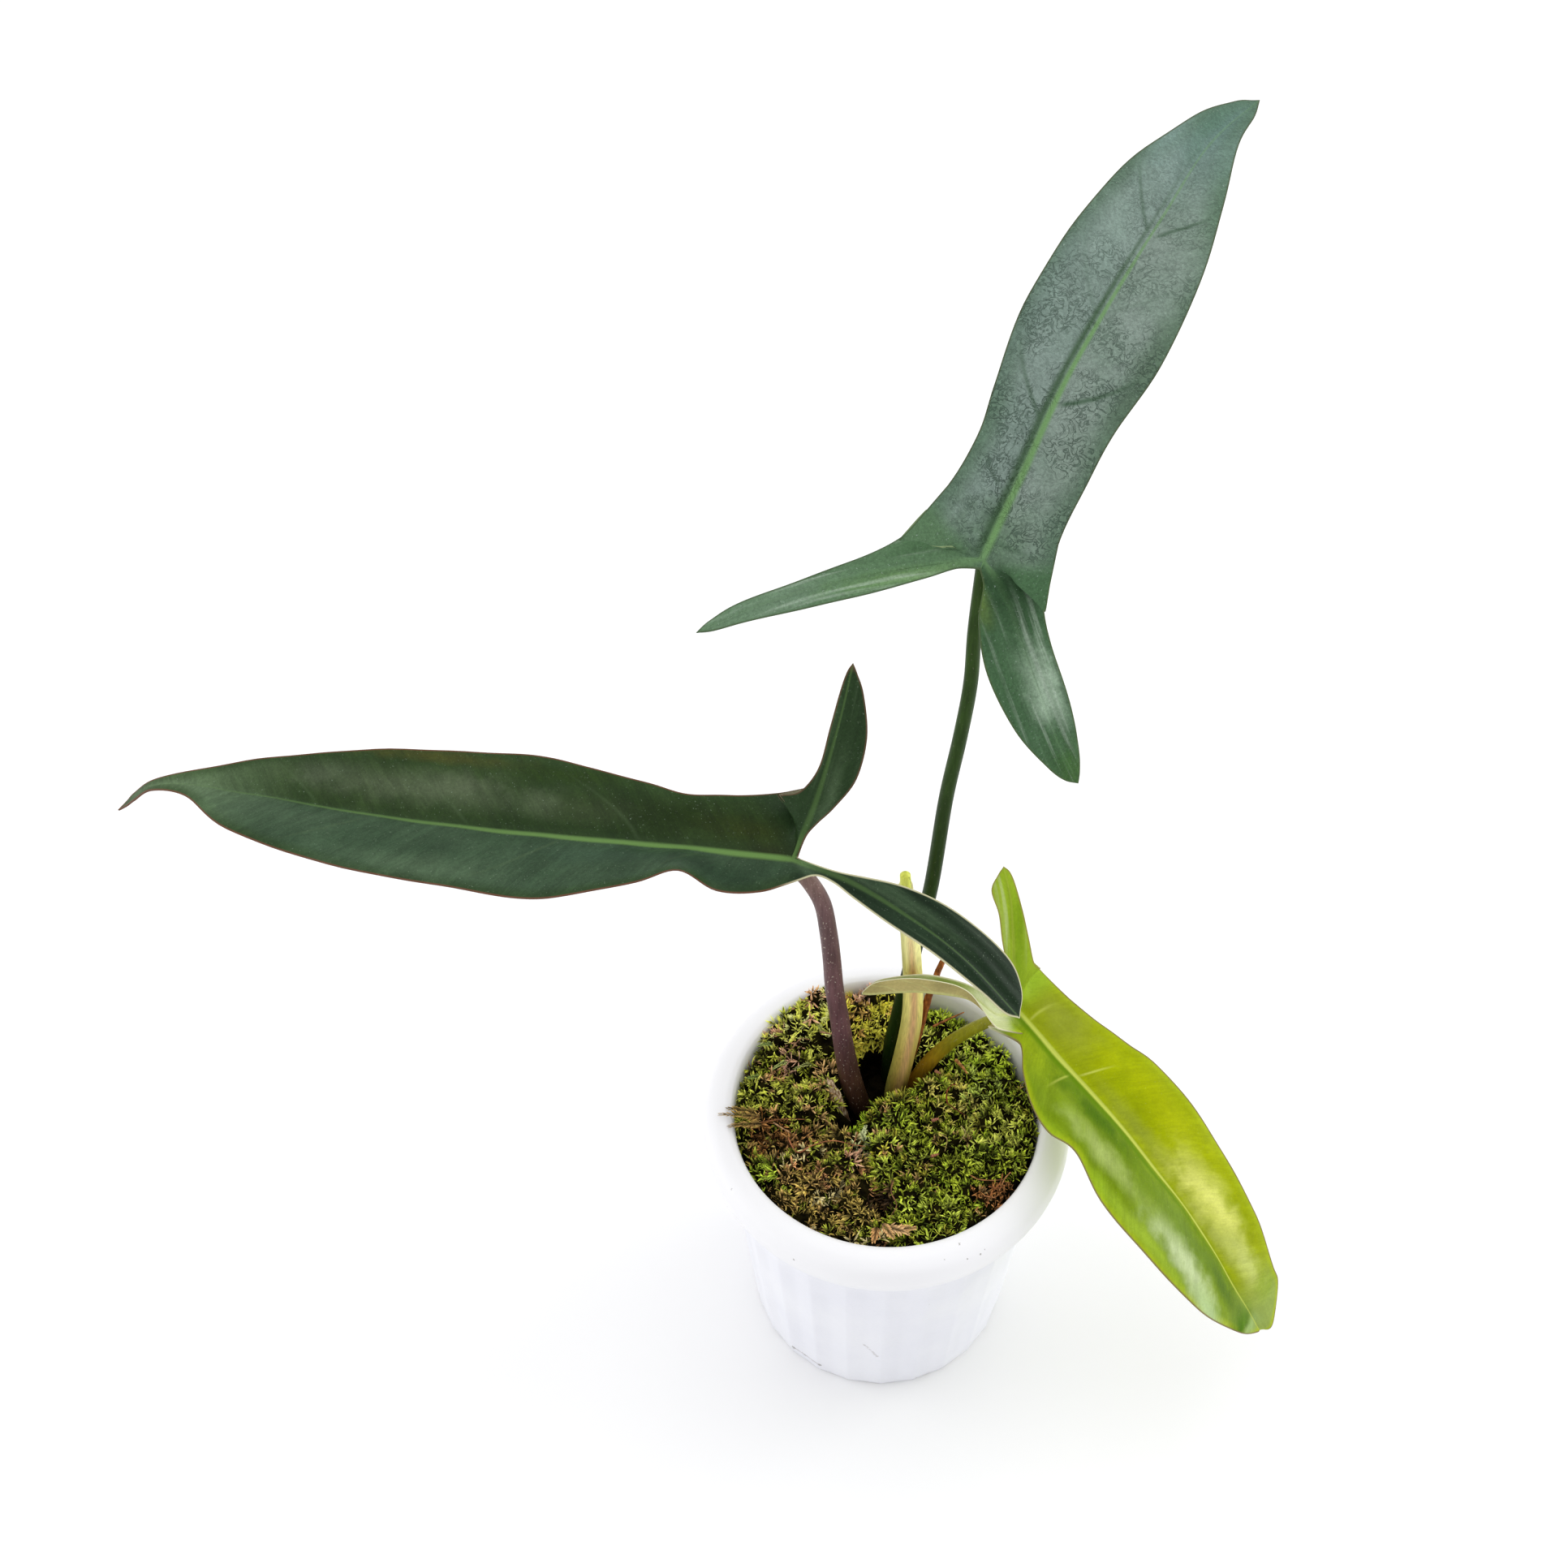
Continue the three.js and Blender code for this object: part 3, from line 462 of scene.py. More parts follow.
UNDER_LIP = [
    # the same, where the wall meets the lip
    (WALL_TOP_RADIUS + 0.5, LIP_HEIGHT - 1.6, 0.5), (WALL_TOP_RADIUS + 1.4, LIP_HEIGHT - 0.5, 0),
    (WALL_TOP_RADIUS + 3.2, LIP_HEIGHT - 0.15, 0),
]
INNER_BEND = 12                   # height at which the inside turns into the floor
DRAIN_HOLES = 6
DRAIN_RADIUS = 4
DRAIN_RING = 34
DRAIN_SIDES = 32
DRILL_REACH = 5                   # how far the cutter reaches past the floor, either way
POT_MARKS = [
    # x, y, z, radius of each dark speck on the pot
    (-62.6, -36.2, 137.2, 0.55), (-37.9, -64.6, 131, 0.6), (27.2, -62.4, 139.5, 0.6),
    (35.6, -64.6, 135.6, 0.5), (43.7, -59.9, 126.5, 0.5), (30.4, -67, 136, 0.4), (37.3, -62.9, 136.4, 0.4),
    (21.3, -68.3, 137.8, 0.4), (-8, -57.5, 43.4, 0.8), (-37.6, -39.3, 6.5, 1.5), (-33.3, -43, 6.8, 1.3),
    (-26.3, -47.6, 6.7, 1.1), (15.9, -51.5, 1.5, 1.1), (17.7, -59.5, 83.7, 0.4),
]
POT_SCRATCHES = [
    # start, end, width
    ((-13.8, -63.4, 112.2), (-10.1, -63.3, 104.7), 0.35),
    ((-8, -57.5, 43.4), (-2.6, -56.9, 32.7), 1.1),
    ((-37.6, -39.3, 6.5), (-26.3, -47.6, 6.7), 1.0),
]


def pot_outline():
    """[radius, height, share of a flute's depth] from the foot's underside, over the rim, to the floor."""
    rim = spline([(radius, 0, height) for radius, height in RIM_CURVE], np.linspace(0, 1, RIM_STEPS))
    outline = list(FOOT_OUTLINE)
    wall_foot = FOOT_OUTLINE[-1][1]
    for share in np.linspace(0, 1, WALL_STEPS + 1)[1:]:
        radius = BASE_RADIUS + (WALL_TOP_RADIUS - BASE_RADIUS) * share
        outline.append((radius, wall_foot + (LIP_HEIGHT - 3 - wall_foot) * share, 1))
    outline += UNDER_LIP
    outline += [(radius, height, 0) for radius, _, height in rim]
    outline += [(INNER_TOP_RADIUS + 0.1, INNER_TOP + 0.4, 0), (INNER_TOP_RADIUS, INNER_TOP - 0.6, 0)]
    outline += [(inner_radius(height), height, 0) for height in (SOIL_TOP, INNER_BEND)]
    outline += [(radius, FLOOR_THICKNESS, 0) for radius in (INNER_FLOOR_RADIUS - 1, 30, 1)]
    return outline


def inner_radius(height):
    share = (height - FLOOR_THICKNESS) / (INNER_TOP - FLOOR_THICKNESS)
    return INNER_FLOOR_RADIUS + (INNER_TOP_RADIUS - INNER_FLOOR_RADIUS) * share


def pot_material():
    shader = Shader("pot_white", 0.34, 0.3)
    x, y, height = shader.node("SeparateXYZ", {0: shader.place}).outputs

    def by_height(low, high, start=0.0, end=1.0):
        return shader.ramp(height, low * MM, high * MM, start, end)

    tint = shader.mix(shader.ramp(shader.noise(45), 0.35, 0.7), (241, 242, 248), (236, 237, 245))
    colour = shader.vary(tint, shader.noise(1.4, detail=4), 1.0, 0.985, (0.4, 0.7))
    # Dust at the foot, a paler rim of painted light, the lip's painted shadow line and painted highlight at
    # its edge
    patchy = shader.ramp(shader.noise(9, detail=5), 0.5, 0.72, 0, 0.5)
    colour = shader.mix(shader.times(by_height(5, 0), patchy), colour, (176, 172, 166))
    colour = shader.mix(by_height(LIP_HEIGHT, LIP_HEIGHT + 6), colour, (243, 243, 246))
    below_lip = shader.times(
        by_height(LIP_HEIGHT - 11, LIP_HEIGHT - 8, 0, 0.6), by_height(LIP_HEIGHT, LIP_HEIGHT - 1))
    colour = shader.mix(below_lip, colour, (204, 206, 214))
    colour = shader.mix(shader.near(height, (LIP_HEIGHT + 1.2) * MM, 1.1 * MM), colour, (254, 254, 255))
    # Faint upright stripes of painted shade between the wall's panels
    panels = shader.math("SINE", shader.times(shader.math("ARCTAN2", y, x), float(FLUTES)))
    shown = shader.times(shader.ramp(panels, -0.9, 0.9), by_height(LIP_HEIGHT - 1, LIP_HEIGHT - 6),
                         shader.ramp(shader.noise(30), 0.35, 0.65, 0.3, 1.0))
    colour = shader.shade(colour, shader.between(shown, 1.0, 0.965))
    for x, y, z, radius in POT_MARKS:
        colour = shader.mix(shader.times(shader.dot((x, y, z), radius), 0.7), colour, (132, 124, 118))
    for start, end, width in POT_SCRATCHES:
        colour = shader.mix(shader.times(shader.streak(start, end, width), 0.45), colour, (150, 142, 140))
    rough = shader.ramp(shader.noise(6, detail=4), *NOISE_RANGE, 0.3, 0.4)
    return shader.finish(colour, shader.noise(9, detail=2), 0.02, rough)


def circle(count):
    """Angles, evenly round a circle."""
    return 2 * math.pi * np.arange(count) / count


def add_pot():
    """The pot, with its drain holes cut by one joined cutter."""
    steps = FLUTES * STEPS_PER_FLUTE
    angle = circle(steps)
    across = 2 * ((np.arange(steps) % STEPS_PER_FLUTE) / STEPS_PER_FLUTE) - 1
    panel = np.clip(1 - across ** 2 - RIDGE_SOFTNESS ** 2, 0, 1)
    rings = []
    for radius, height, fluted in pot_outline():
        reach = radius - FLUTE_DEPTH * fluted * panel
        rings.append(np.stack([reach * np.cos(angle), reach * np.sin(angle), np.full(steps, height)], axis=1))
    points = np.concatenate(rings + [[[0, 0, 0], [0, 0, FLOOR_THICKNESS]]])
    faces = ring_faces(len(rings), steps)
    pot = add_piece("fine_pot", points, faces, [pot_material()], ["pot"], sharp=50)
    drill = new_object("drill", *drain_cutter())
    cut = pot.modifiers.new("drains", "BOOLEAN")
    cut.object = drill
    cut.operation = "DIFFERENCE"
    cut.solver = "EXACT"
    bpy.context.view_layer.update()
    cut_mesh = bpy.data.meshes.new_from_object(pot.evaluated_get(bpy.context.evaluated_depsgraph_get()))
    pot.modifiers.remove(cut)
    pot.data = cut_mesh
    bpy.data.objects.remove(drill)


def drain_cutter():
    """A round pin for each drain hole, through the pot's floor."""
    angle = circle(DRAIN_SIDES)
    points, faces = [], []
    for turn in circle(DRAIN_HOLES):
        x, y = DRAIN_RING * math.cos(turn), DRAIN_RING * math.sin(turn)
        start = len(points)
        for height in (-DRILL_REACH, FLOOR_THICKNESS + DRILL_REACH):
            ring = [x + DRAIN_RADIUS * np.cos(angle), y + DRAIN_RADIUS * np.sin(angle), 0 * angle + height]
            points += np.transpose(ring).tolist()
        bottom = list(range(start, start + DRAIN_SIDES))
        faces += grid_faces(2, DRAIN_SIDES, start, closed=True)
        faces += [bottom[::-1], [index + DRAIN_SIDES for index in bottom]]
    return points, faces


# Leaf blades: the part's ribs, stations and edges
class Rib:
    """One main vein: its curve, the blade's up along it and the shares of its stations."""

    def __init__(self, points, up, shares):
        self.points = np.array(points, float)
        self.up = np.array(up, float)
        self.shares = shares
        self.length = evenly(self.points, 2)[1]

    def frame(self, share):
        share = np.atleast_1d(np.asarray(share, float))
        ahead = spline(self.points, np.minimum(share + 0.01, 1))
        forward = unit(ahead - spline(self.points, np.maximum(share - 0.01, 0)))
        lean = unit(spline(self.up, share))
        up = unit(lean - forward * np.sum(lean * forward, axis=1, keepdims=True))
        return spline(self.points, share), forward, up, np.cross(up, forward), lean


def edge_line(widths, sweeps=(0,), lifts=(0,)):
    """A line of the leaf's edge: each rib station's distance from it, how far the way there sweeps towards
    the rib's tip and how far it lifts, in degrees. A short list goes on with its last number."""
    rows = [list(row) + [row[-1]] * (len(widths) - len(row)) for row in (widths, sweeps, lifts)]
    return np.array(rows, float)


LOBE_SHARES = [0.12, 0.25, 0.45, 0.65, 0.85, 0.95]
FINE_LOBE_SHARES = [0.12, 0.2, 0.3, 0.45, 0.65, 0.85, 0.95]
# A rib: its points, the blade's up along it and the shares of its stations. A half: its lobe, its hand, and
# the edge's lines beside the midrib, outside the lobe's rib and inside it.
TALL_BLADE = {
    "ribs": {
        "midrib": Rib(
            [[28, 64, 400], [41, 84, 420], [56, 111, 438], [75, 144, 450], [95, 180, 456], [115, 218, 457],
             [137, 250, 451]],
            [[0, -0.35, 1], [0, -0.35, 1]], [0.95, 0.85, 0.7, 0.55, 0.4, 0.28, 0.2, 0.1, 0]),
        "left": Rib(
            [[28, 64, 400], [7, 61, 399], [-18, 58, 396], [-46, 55, 388], [-73, 53, 373]],
            [[0, -0.35, 1], [-0.2, -0.3, 1]], LOBE_SHARES),
        "right": Rib(
            [[28, 64, 400], [36, 53, 391], [42, 44, 377], [50, 33, 358], [57, 27, 341], [65, 25, 322]],
            [[0, -0.35, 1], [0.3, -0.9, 0.6]], LOBE_SHARES),
    },
    "sinus": [27, 60.5, 398.5],
    "halves": [
        ("left", 1,
         edge_line([6, 12, 22, 26.5, 26.5, 22, 20, 23, 31],
                   [10, 15, 15, 15, 10, 5, 0, -8, -15], [6] * 8 + [4]),
         edge_line([25.5, 14.5, 7.5, 4.5, 4, 2.5], [5, 10, 0], [2, 0]),
         edge_line([2.5, 4.5, 7, 7, 4, 2], [-10, 0])),
        ("right", -1,
         edge_line([4, 9, 18, 25.5, 28, 24, 22.5, 22.5, 29],
                   [10, 15, 15, 15, 10, 5, 0, -8, -15], [6] * 8 + [4]),
         edge_line([21, 12.5, 10, 9.5, 6.5, 3], [5, 5, 0], [2, 0]),
         edge_line([5.5, 12.5, 15.5, 13, 7.5, 4], [-10, 0])),
    ],
}

LEFT_BLADE = {
    "ribs": {
        "midrib": Rib(
            [[-39, 24, 277], [-79, 24, 284], [-120, 27, 286], [-162, 33, 285], [-204, 43, 281],
             [-246, 58, 273], [-283, 70, 264], [-304, 72, 245]],
            [[0, -0.05, 1], [0, -0.05, 1]],
            [0.97, 0.94, 0.88, 0.8, 0.7, 0.55, 0.4, 0.33, 0.27, 0.2, 0.15, 0.1, 0.05, 0]),
        "near": Rib(
            [[-39, 24, 277], [-18, 14, 277], [4, 3, 270], [26, -8, 257], [47, -20, 236]],
            [[0, -0.05, 1], [0.2, -0.5, 1], [0.35, -0.35, 1], [0.5, -0.3, 1]], FINE_LOBE_SHARES),
        "far": Rib(
            [[-39, 24, 277], [-31, 38, 289], [-25, 51, 303], [-20, 65, 315], [-16, 79, 326]],
            [[0, -0.05, 1], [0, -0.5, 1], [0, -0.6, 1]], FINE_LOBE_SHARES),
    },
    "sinus": [-36.5, 24.5, 277.5],
    "halves": [
        ("near", 1,
         edge_line([1, 1.5, 2, 6, 19.5, 27.5, 29.5, 31, 30, 26, 25.5, 20, 15.5, 10],
                   [0, 0, 5, 10, 15, 15, 10, 5, 5, 0, 0, 0, -10], [6] * 8 + [12, 24, 38, 10, -4, 2]),
         edge_line([3, 3, 5, 6.5, 6.5, 5, 3.5]),
         edge_line([1.5, 2, 4.5, 9.5, 13.5, 14.5, 10])),
        ("far", -1,
         edge_line([1.5, 2.5, 3.5, 7.5, 17.5, 29.5, 33.5, 34, 31, 26.5, 23.5, 24.5, 27, 32],
                   [0, 0, 5, 10, 15, 15, 10, 5, 5, 0, 0, 0, -10], [6]),
         edge_line([18, 14, 7, 3, 3, 2.5, 1.5], [35, 20, 10, 0], [4, 0]),
         edge_line([1.5, 3.5, 7.5, 12, 11.5, 6.5, 2.5])),
    ],
}

LIME_BLADE = {
    "ribs": {
        "midrib": Rib(
            [[53, 23, 175], [71, 2, 168], [90, -15, 156], [108, -30, 139], [126, -43, 117], [141, -55, 93],
             [154, -64, 70.5]],
            [[-0.1, 0.2, 1], [0.3, -0.2, 1], [0.7, -0.4, 0.6]],
            [0.99, 0.96, 0.9, 0.8, 0.7, 0.55, 0.4, 0.3, 0.24, 0.18, 0.12, 0.06, 0]),
        "upper": Rib(
            [[53, 23, 175], [50, 30, 193], [49, 39, 208], [48, 48, 218], [45, 57, 228]],
            [[-0.1, 0.2, 1], [0.2, -1, 0.6], [0.2, -1, 0.6]], LOBE_SHARES),
        "left": Rib(
            [[53, 23, 175], [43, 18, 181], [32, 20, 191], [16, 18.5, 197], [2.5, 18.5, 197],
             [-11, 21, 192]],
            [[-0.1, 0.2, 1], [0, 0, 1], [0, 0, 1]], LOBE_SHARES),
    },
    "sinus": [50.5, 25, 176.5],
    "halves": [
        ("upper", 1,
         edge_line([9, 20, 22.5, 25.5, 27.5, 30.5, 31.5, 30.5, 27.5, 25.5, 22.5, 21, 23],
                   [40, 0, 5, 10, 15, 15, 10, 5, 0, 0, -5, -20, -35], [6]),
         edge_line([14.5, 9, 6.5, 4.5, 3, 2], [40, 20, 0], [4, 0]),
         edge_line([2.5, 2.5, 4.5, 5.5, 7, 3])),
        ("left", -1,
         edge_line([2, 8, 13.5, 21.5, 27, 31.5, 31.5, 25.5, 28.5, 25.5, 18, 9.5, 15.5],
                   [40, 0, 5, 10, 15, 15, 10, 5, 0, 0, 0, -5, -10], [6] * 12 + [0]),
         edge_line([14, 12, 6, 9.5, 9, 4.5], [0], [5, 25, 70, 88, 82, 75]),
         edge_line([7, 5.5, 5, 7.5, 6, 3], [0], [10, 28, 55, 65, 65, 60])),
    ],
}

ROWS_PER_STATION = 8
BLADE_COLUMNS = 22
LOBE_COLUMNS = 14
COLUMN_EASE = 1.45                # above 1, the columns lie closer together near the rib
ARCH = 0.05                       # how far a half bulges up, as a share of its width
BLADE_THICKNESS = 0.7
MARGIN_THICKNESS = 0.4
MARGIN_WIDTH = 4                  # over which the blade thins to that
RIB_DEPTH = 1.1                   # how far a rib stands proud below the blade at its thick end
RIB_REACH = 3.2
RIB_TAPER = 0.75
MAIN_FAN = 0.55                   # how far a side vein leans towards the rib's tip, per mm across
LOBE_FAN = 1.6
LOBE_BORDER = (-9, 17)            # where the blade passes into a lobe, in mm from the sinus towards the lobe
RELAX_ROUNDS = 40
VEIN_WARP = 0.22                  # uneven spacing of the side veins, as a share of it
RIDGE_WIDTH = 1.3                 # of the raised midrib
GROOVE_PLACE, GROOVE_WIDTH = 3, 1.5
VEIN_WIDTH = 2.6                  # of a side vein's furrow
SWELL_PLACE, SWELL_WIDTH = 6, 4   # of the swellings on either side of it
FLAT_EDGE = 6                     # over which the relief dies out towards the edge


def stations_of(rib, hand, line):
    """A rib's stations, each with its share and its point of the leaf's edge."""
    place, forward, up, side, _ = rib.frame(rib.shares)
    width, sweep, lift = line[:, :, None]
    turn, rise = np.radians(sweep), np.radians(lift)
    flat = side * hand * np.cos(turn) + forward * np.sin(turn)
    edge = place + flat * width * np.cos(rise) + up * width * np.sin(rise)
    return [(rib, share, point) for share, point in zip(rib.shares, edge)]


def lay_side(stations, columns, hand, spacing, root_place, lobeward):
    """A fine net of points between a line of rib stations and the matching line of edge points, with the
    values that the leaf's relief and colours are worked out from."""
    intervals = len(stations) - 1
    places = np.linspace(0, intervals, intervals * ROWS_PER_STATION + 1)
    index = np.minimum(places.astype(int), intervals - 1)
    shares = np.array([share for _, share, _ in stations])
    share = shares[index] + (shares[index + 1] - shares[index]) * (places - index)
    edge = spline([edge for _, _, edge in stations], places / intervals)
    root, lean = np.zeros_like(edge), np.zeros_like(edge)
    gone, tipward = np.zeros(len(places)), np.zeros(len(places))
    for rib in {id(station[0]): station[0] for station in stations}.values():
        rows = np.array([stations[i + 1][0] is rib for i in index])
        root[rows], _, _, _, lean[rows] = rib.frame(share[rows])
        gone[rows] = share[rows] * rib.length
        tipward[rows] = share[rows]
    across = np.linspace(0, 1, columns + 1) ** COLUMN_EASE
    width = np.linalg.norm(edge - root, axis=1)
    points = root[:, None] + (edge - root)[:, None] * across[None, :, None]
    points += lean[:, None] * (4 * ARCH * width[:, None] * across * (1 - across))[:, :, None]
    away = width[:, None] * across
    on_lobe = step_up((points - root_place) @ lobeward, *LOBE_BORDER)
    fan = MAIN_FAN + (LOBE_FAN - MAIN_FAN) * on_lobe
    flow = gone[:, None] - fan * away
    phase = flow / spacing
    phase = phase + VEIN_WARP * np.sin(2.3 * phase + hand) + 0.5 * VEIN_WARP * np.sin(5.1 * phase)
    spread = np.ones_like(across)[None, :]
    values = {
        # mm from the rib, below 0 to its right; mm from the edge; mm and share along the rib; 1 on a lobe;
        # the side veins' count along the rib
        "off": away * hand, "margin": width[:, None] - away, "gone": gone[:, None] * spread,
        "tipward": tipward[:, None] * spread, "on_lobe": on_lobe, "phase": phase,
    }
    return points, values


def relax(points, faces, share):
    """Points drawn to the mean of their neighbours where share is high, which rounds the folds there. A point
    of the outline moves along with its two neighbours on it."""
    outline = np.array(open_edges(faces))
    on_outline = np.zeros(len(points), bool)
    on_outline[outline.reshape(-1)] = True
    inner = np.array([(face[k - 1], face[k]) for face in faces for k in range(len(face))])
    starts = np.concatenate([inner[:, 0], inner[:, 1], outline[:, 0], outline[:, 1]])
    ends = np.concatenate([inner[:, 1], inner[:, 0], outline[:, 1], outline[:, 0]])
    of_outline = np.arange(len(starts)) >= 2 * len(inner)
    used = on_outline[starts] == of_outline
    starts, ends = starts[used], ends[used]
    number = np.bincount(starts, minlength=len(points))[:, None]
    for _ in range(RELAX_ROUNDS):
        total = np.stack([np.bincount(starts, points[ends, axis], len(points)) for axis in range(3)], axis=1)
        points = points + 0.5 * share[:, None] * (total / number - points)
    return points


def blade_surface(blade, spacing):
    """The upper face of a blade: welded points, faces and values."""
    points, faces, values, start = [], [], {}, 0
    ribs = blade["ribs"]
    midrib = ribs["midrib"]
    root = midrib.points[0]
    for number, (lobe, hand, main_line, outer_line, inner_line) in enumerate(blade["halves"]):
        back = ribs[lobe]
        leaf_tip, lobe_tip = [(rib, 1.0, rib.points[-1]) for rib in (midrib, back)]
        outer = [leaf_tip] + stations_of(midrib, hand, main_line)
        outer += stations_of(back, -hand, outer_line) + [lobe_tip]
        inner = [(back, 0.0, np.array(blade["sinus"], float))]
        inner += stations_of(back, hand, inner_line) + [lobe_tip]
        lobeward = unit(spline(back.points, 0.5)[0] - root) - unit(spline(midrib.points, 0.3)[0] - root)
        for line, columns, flip in ((outer, BLADE_COLUMNS, hand < 0), (inner, LOBE_COLUMNS, hand > 0)):
            laid, found = lay_side(line, columns, hand if line is outer else -hand, spacing, root, lobeward)
            rows = len(laid)
            squares = grid_faces(rows, columns + 1, start)
            faces += squares if not flip else [square[::-1] for square in squares]
            points.append(laid.reshape(-1, 3))
            found["lobe_side"] = np.full((rows, columns + 1), float(number)) * found["on_lobe"]
            for name, numbers in found.items():
                values.setdefault(name, []).append(numbers.reshape(-1))
            start += rows * (columns + 1)
    points, faces, kept = weld(np.concatenate(points), faces)
    values = {name: np.concatenate(numbers)[kept] for name, numbers in values.items()}
    border = 4 * values["on_lobe"] * (1 - values["on_lobe"])
    share = border * step_up(values["gone"] + np.abs(values["off"]), 3, 9)
    return relax(points, faces, share), faces, values


def relief(points, values, look, length):
    """How far each point of the upper face rises along its normal: rib, grooves, side veins and waves."""
    off, gone = values["off"], values["gone"]
    away = np.abs(off)
    taper = 1 - RIB_TAPER * values["tipward"]
    inside = step_up(values["margin"], 0, FLAT_EDGE)
    rise = taper * look["ridge"] * bump(away, RIDGE_WIDTH)
    rise -= taper * look["groove"] * bump(away - GROOVE_PLACE, GROOVE_WIDTH)
    for side, foot, fan, curve, depth, _ in look["veins"]:
        apart = gone - foot * length - fan * away - curve * away ** 2
        own = depth * (1 - values["on_lobe"]) * inside * step_up(off * side, 0.5, 4)
        swell = bump(apart - SWELL_PLACE, SWELL_WIDTH) + bump(apart + SWELL_PLACE, SWELL_WIDTH)
        rise += own * (0.5 * swell - bump(apart, VEIN_WIDTH))
    pleats = np.sin(off * 2 * math.pi / look["pleat_width"] + 0.6 * waves(points, 25, SEED))
    rise += look["pleat"] * pleats * values["on_lobe"] * inside * step_up(gone, 4, 25)
    rise += look["puff"] * waves(points, 26, SEED + 3) * inside
    rise += look["wave"] * waves(points, 34, SEED) * step_up(values["margin"], 12, 0) * step_up(away, 2, 8)
    rise += look["grain"] * waves(points, 5, SEED + 1, 9) * inside
    return rise


def add_blade(name, blade, look, materials, node):
    points, faces, values = blade_surface(blade, look["spacing"])
    normals = normals_of(points, faces)
    proud = RIB_DEPTH * (1 - RIB_TAPER * values["tipward"]) * step_up(np.abs(values["off"]), RIB_REACH, 0)
    thin = step_up(values["margin"], 0, MARGIN_WIDTH)
    depth = MARGIN_THICKNESS + (BLADE_THICKNESS - MARGIN_THICKNESS) * thin + proud
    top = points + normals * relief(points, values, look, blade["ribs"]["midrib"].length)[:, None]
    below = top - normals * depth[:, None]
    points, faces, values, marks = thicken(top, below, faces, values, 0)
    add_piece(name, points, faces, materials, [node], values, marks=marks, sharp=55)


class LeafShader(Shader):
    """The upper face of a leaf. paint holds the colours and strengths of what the photograph shows."""

    def __init__(self, name, paint):
        super().__init__(name, paint["roughness"], paint["gloss"])
        self.paint = paint
        self.off, self.margin, self.gone, self.tipward = map(self.value, ("off", "margin", "gone", "tipward"))
        self.on_lobe, self.second, self.phase = map(self.value, ("on_lobe", "lobe_side", "phase"))
        self.away = self.math("ABSOLUTE", self.off)
        self.parts = {
            "main": self.rest(self.on_lobe), "first": self.math("SUBTRACT", self.on_lobe, self.second),
            "second": self.second,
        }
        self.lobes = self.mix(self.ramp(self.second, 0.1, 0.9), paint["first_lobe"], paint["second_lobe"])
        self.ragged = self.ramp(self.noise(8), 0.25, 0.75, -0.16, 0.16)

    def zones(self):
        """Each half, the tip, the edge and the lobes in their own colours, with soft patches over them, some
        of them painted sheen.
        """
        paint = self.paint
        cloud = self.ramp(self.noise(24, detail=4), 0.35, 0.68)
        left, right = self.mix(cloud, *paint["body"]), self.mix(cloud, *paint["other"])
        colour = self.mix(self.ramp(self.off, 2, -2), left, right)
        colour = self.mix(self.ramp(self.tipward, *paint["tip_zone"]), colour, paint["tip"])
        edge = self.times(self.ramp(self.margin, paint["edge_width"], 0.5), 0.8)
        colour = self.mix(edge, colour, paint["edge"])
        colour = self.mix(self.ramp(self.on_lobe, 0.05, 0.95), colour, self.lobes)
        for part, middle, half_length, across, half_width, tint, strength in paint["patches"]:
            tipward = self.math("ADD", self.tipward, self.times(self.ragged, half_length))
            off = self.math("ADD", self.off, self.times(self.ragged, half_width))
            shown = self.times(self.near(tipward, middle, half_length), self.near(off, across, half_width),
                               self.parts[part], strength)
            colour = self.mix(shown, colour, tint)
        return colour

    def stripes(self, colour):
        """Fine stripes that run with the side veins, broader bands of painted sheen along them, and streaks
        along the lobes, the pale ones painted sheen and the darker ones beside them.
        """
        paint = self.paint
        flow = self.node("CombineXYZ", {0: self.phase, 1: self.times(self.off, 0.012)}).outputs[0]
        fine, broad = self.noise(0.05, rough=0.6, place=flow), self.noise(0.34, detail=2, place=flow)
        bands = self.between(self.parts["main"], 0.5, broad)
        colour = self.vary(colour, fine, 1 - paint["stripes"], 1 + paint["stripes"], (0.25, 0.75))
        colour = self.vary(colour, bands, 1 - paint["bands"], 1 + paint["bands"])
        flow = self.node("CombineXYZ", {0: self.off, 1: self.times(self.gone, 0.035)}).outputs[0]
        streaks = self.noise(3.2, detail=4, place=flow)
        well_out = self.times(self.ramp(self.on_lobe, 0.75, 1.0), self.ramp(self.gone, 10, 38))
        pale = self.times(self.ramp(streaks, 0.52, 0.7), well_out, paint["streaks"])
        colour = self.mix(pale, colour, paint["sheen_streak_colour"])
        dark = self.times(self.ramp(streaks, 0.48, 0.34), well_out, 0.5)
        return self.mix(dark, colour, self.shade(self.lobes, 0.6))

    def mottling(self, colour):
        """Worm-like mottling, and how high it stands."""
        size, end, strength, tint = self.paint["mottle"]
        worms = self.near(self.noise(size, rough=0.6, twist=1.4), 0.5, 0.05)
        patchy = self.ramp(self.noise(14, detail=2), 0.38, 0.6, 0.25, 1)
        mottled = self.times(worms, self.ramp(self.tipward, end, 0.2), patchy, self.parts["main"], strength)
        return self.mix(mottled, colour, tint), self.times(mottled, -1.0)

    # Side veins in vein_colour; where that is darker than the blade, as on the tall leaf, it is painted shade
    # in their furrows.
    def side_veins(self, colour, veins, length):
        paint = self.paint
        for side, foot, fan, curve, _, strength in veins:
            bent = self.times(self.away, self.away, curve)
            apart = self.math("SUBTRACT", self.math("SUBTRACT", self.gone, self.times(self.away, fan)), bent)
            own = self.times(self.near(apart, foot * length, paint["vein_width"]), self.parts["main"],
                             self.ramp(self.off, 0, side * 4.0), self.ramp(self.margin, 1, 8),
                             self.ramp(self.away, paint["vein_reach"], 6), strength)
            colour = self.mix(own, colour, paint["vein_colour"])
        return colour

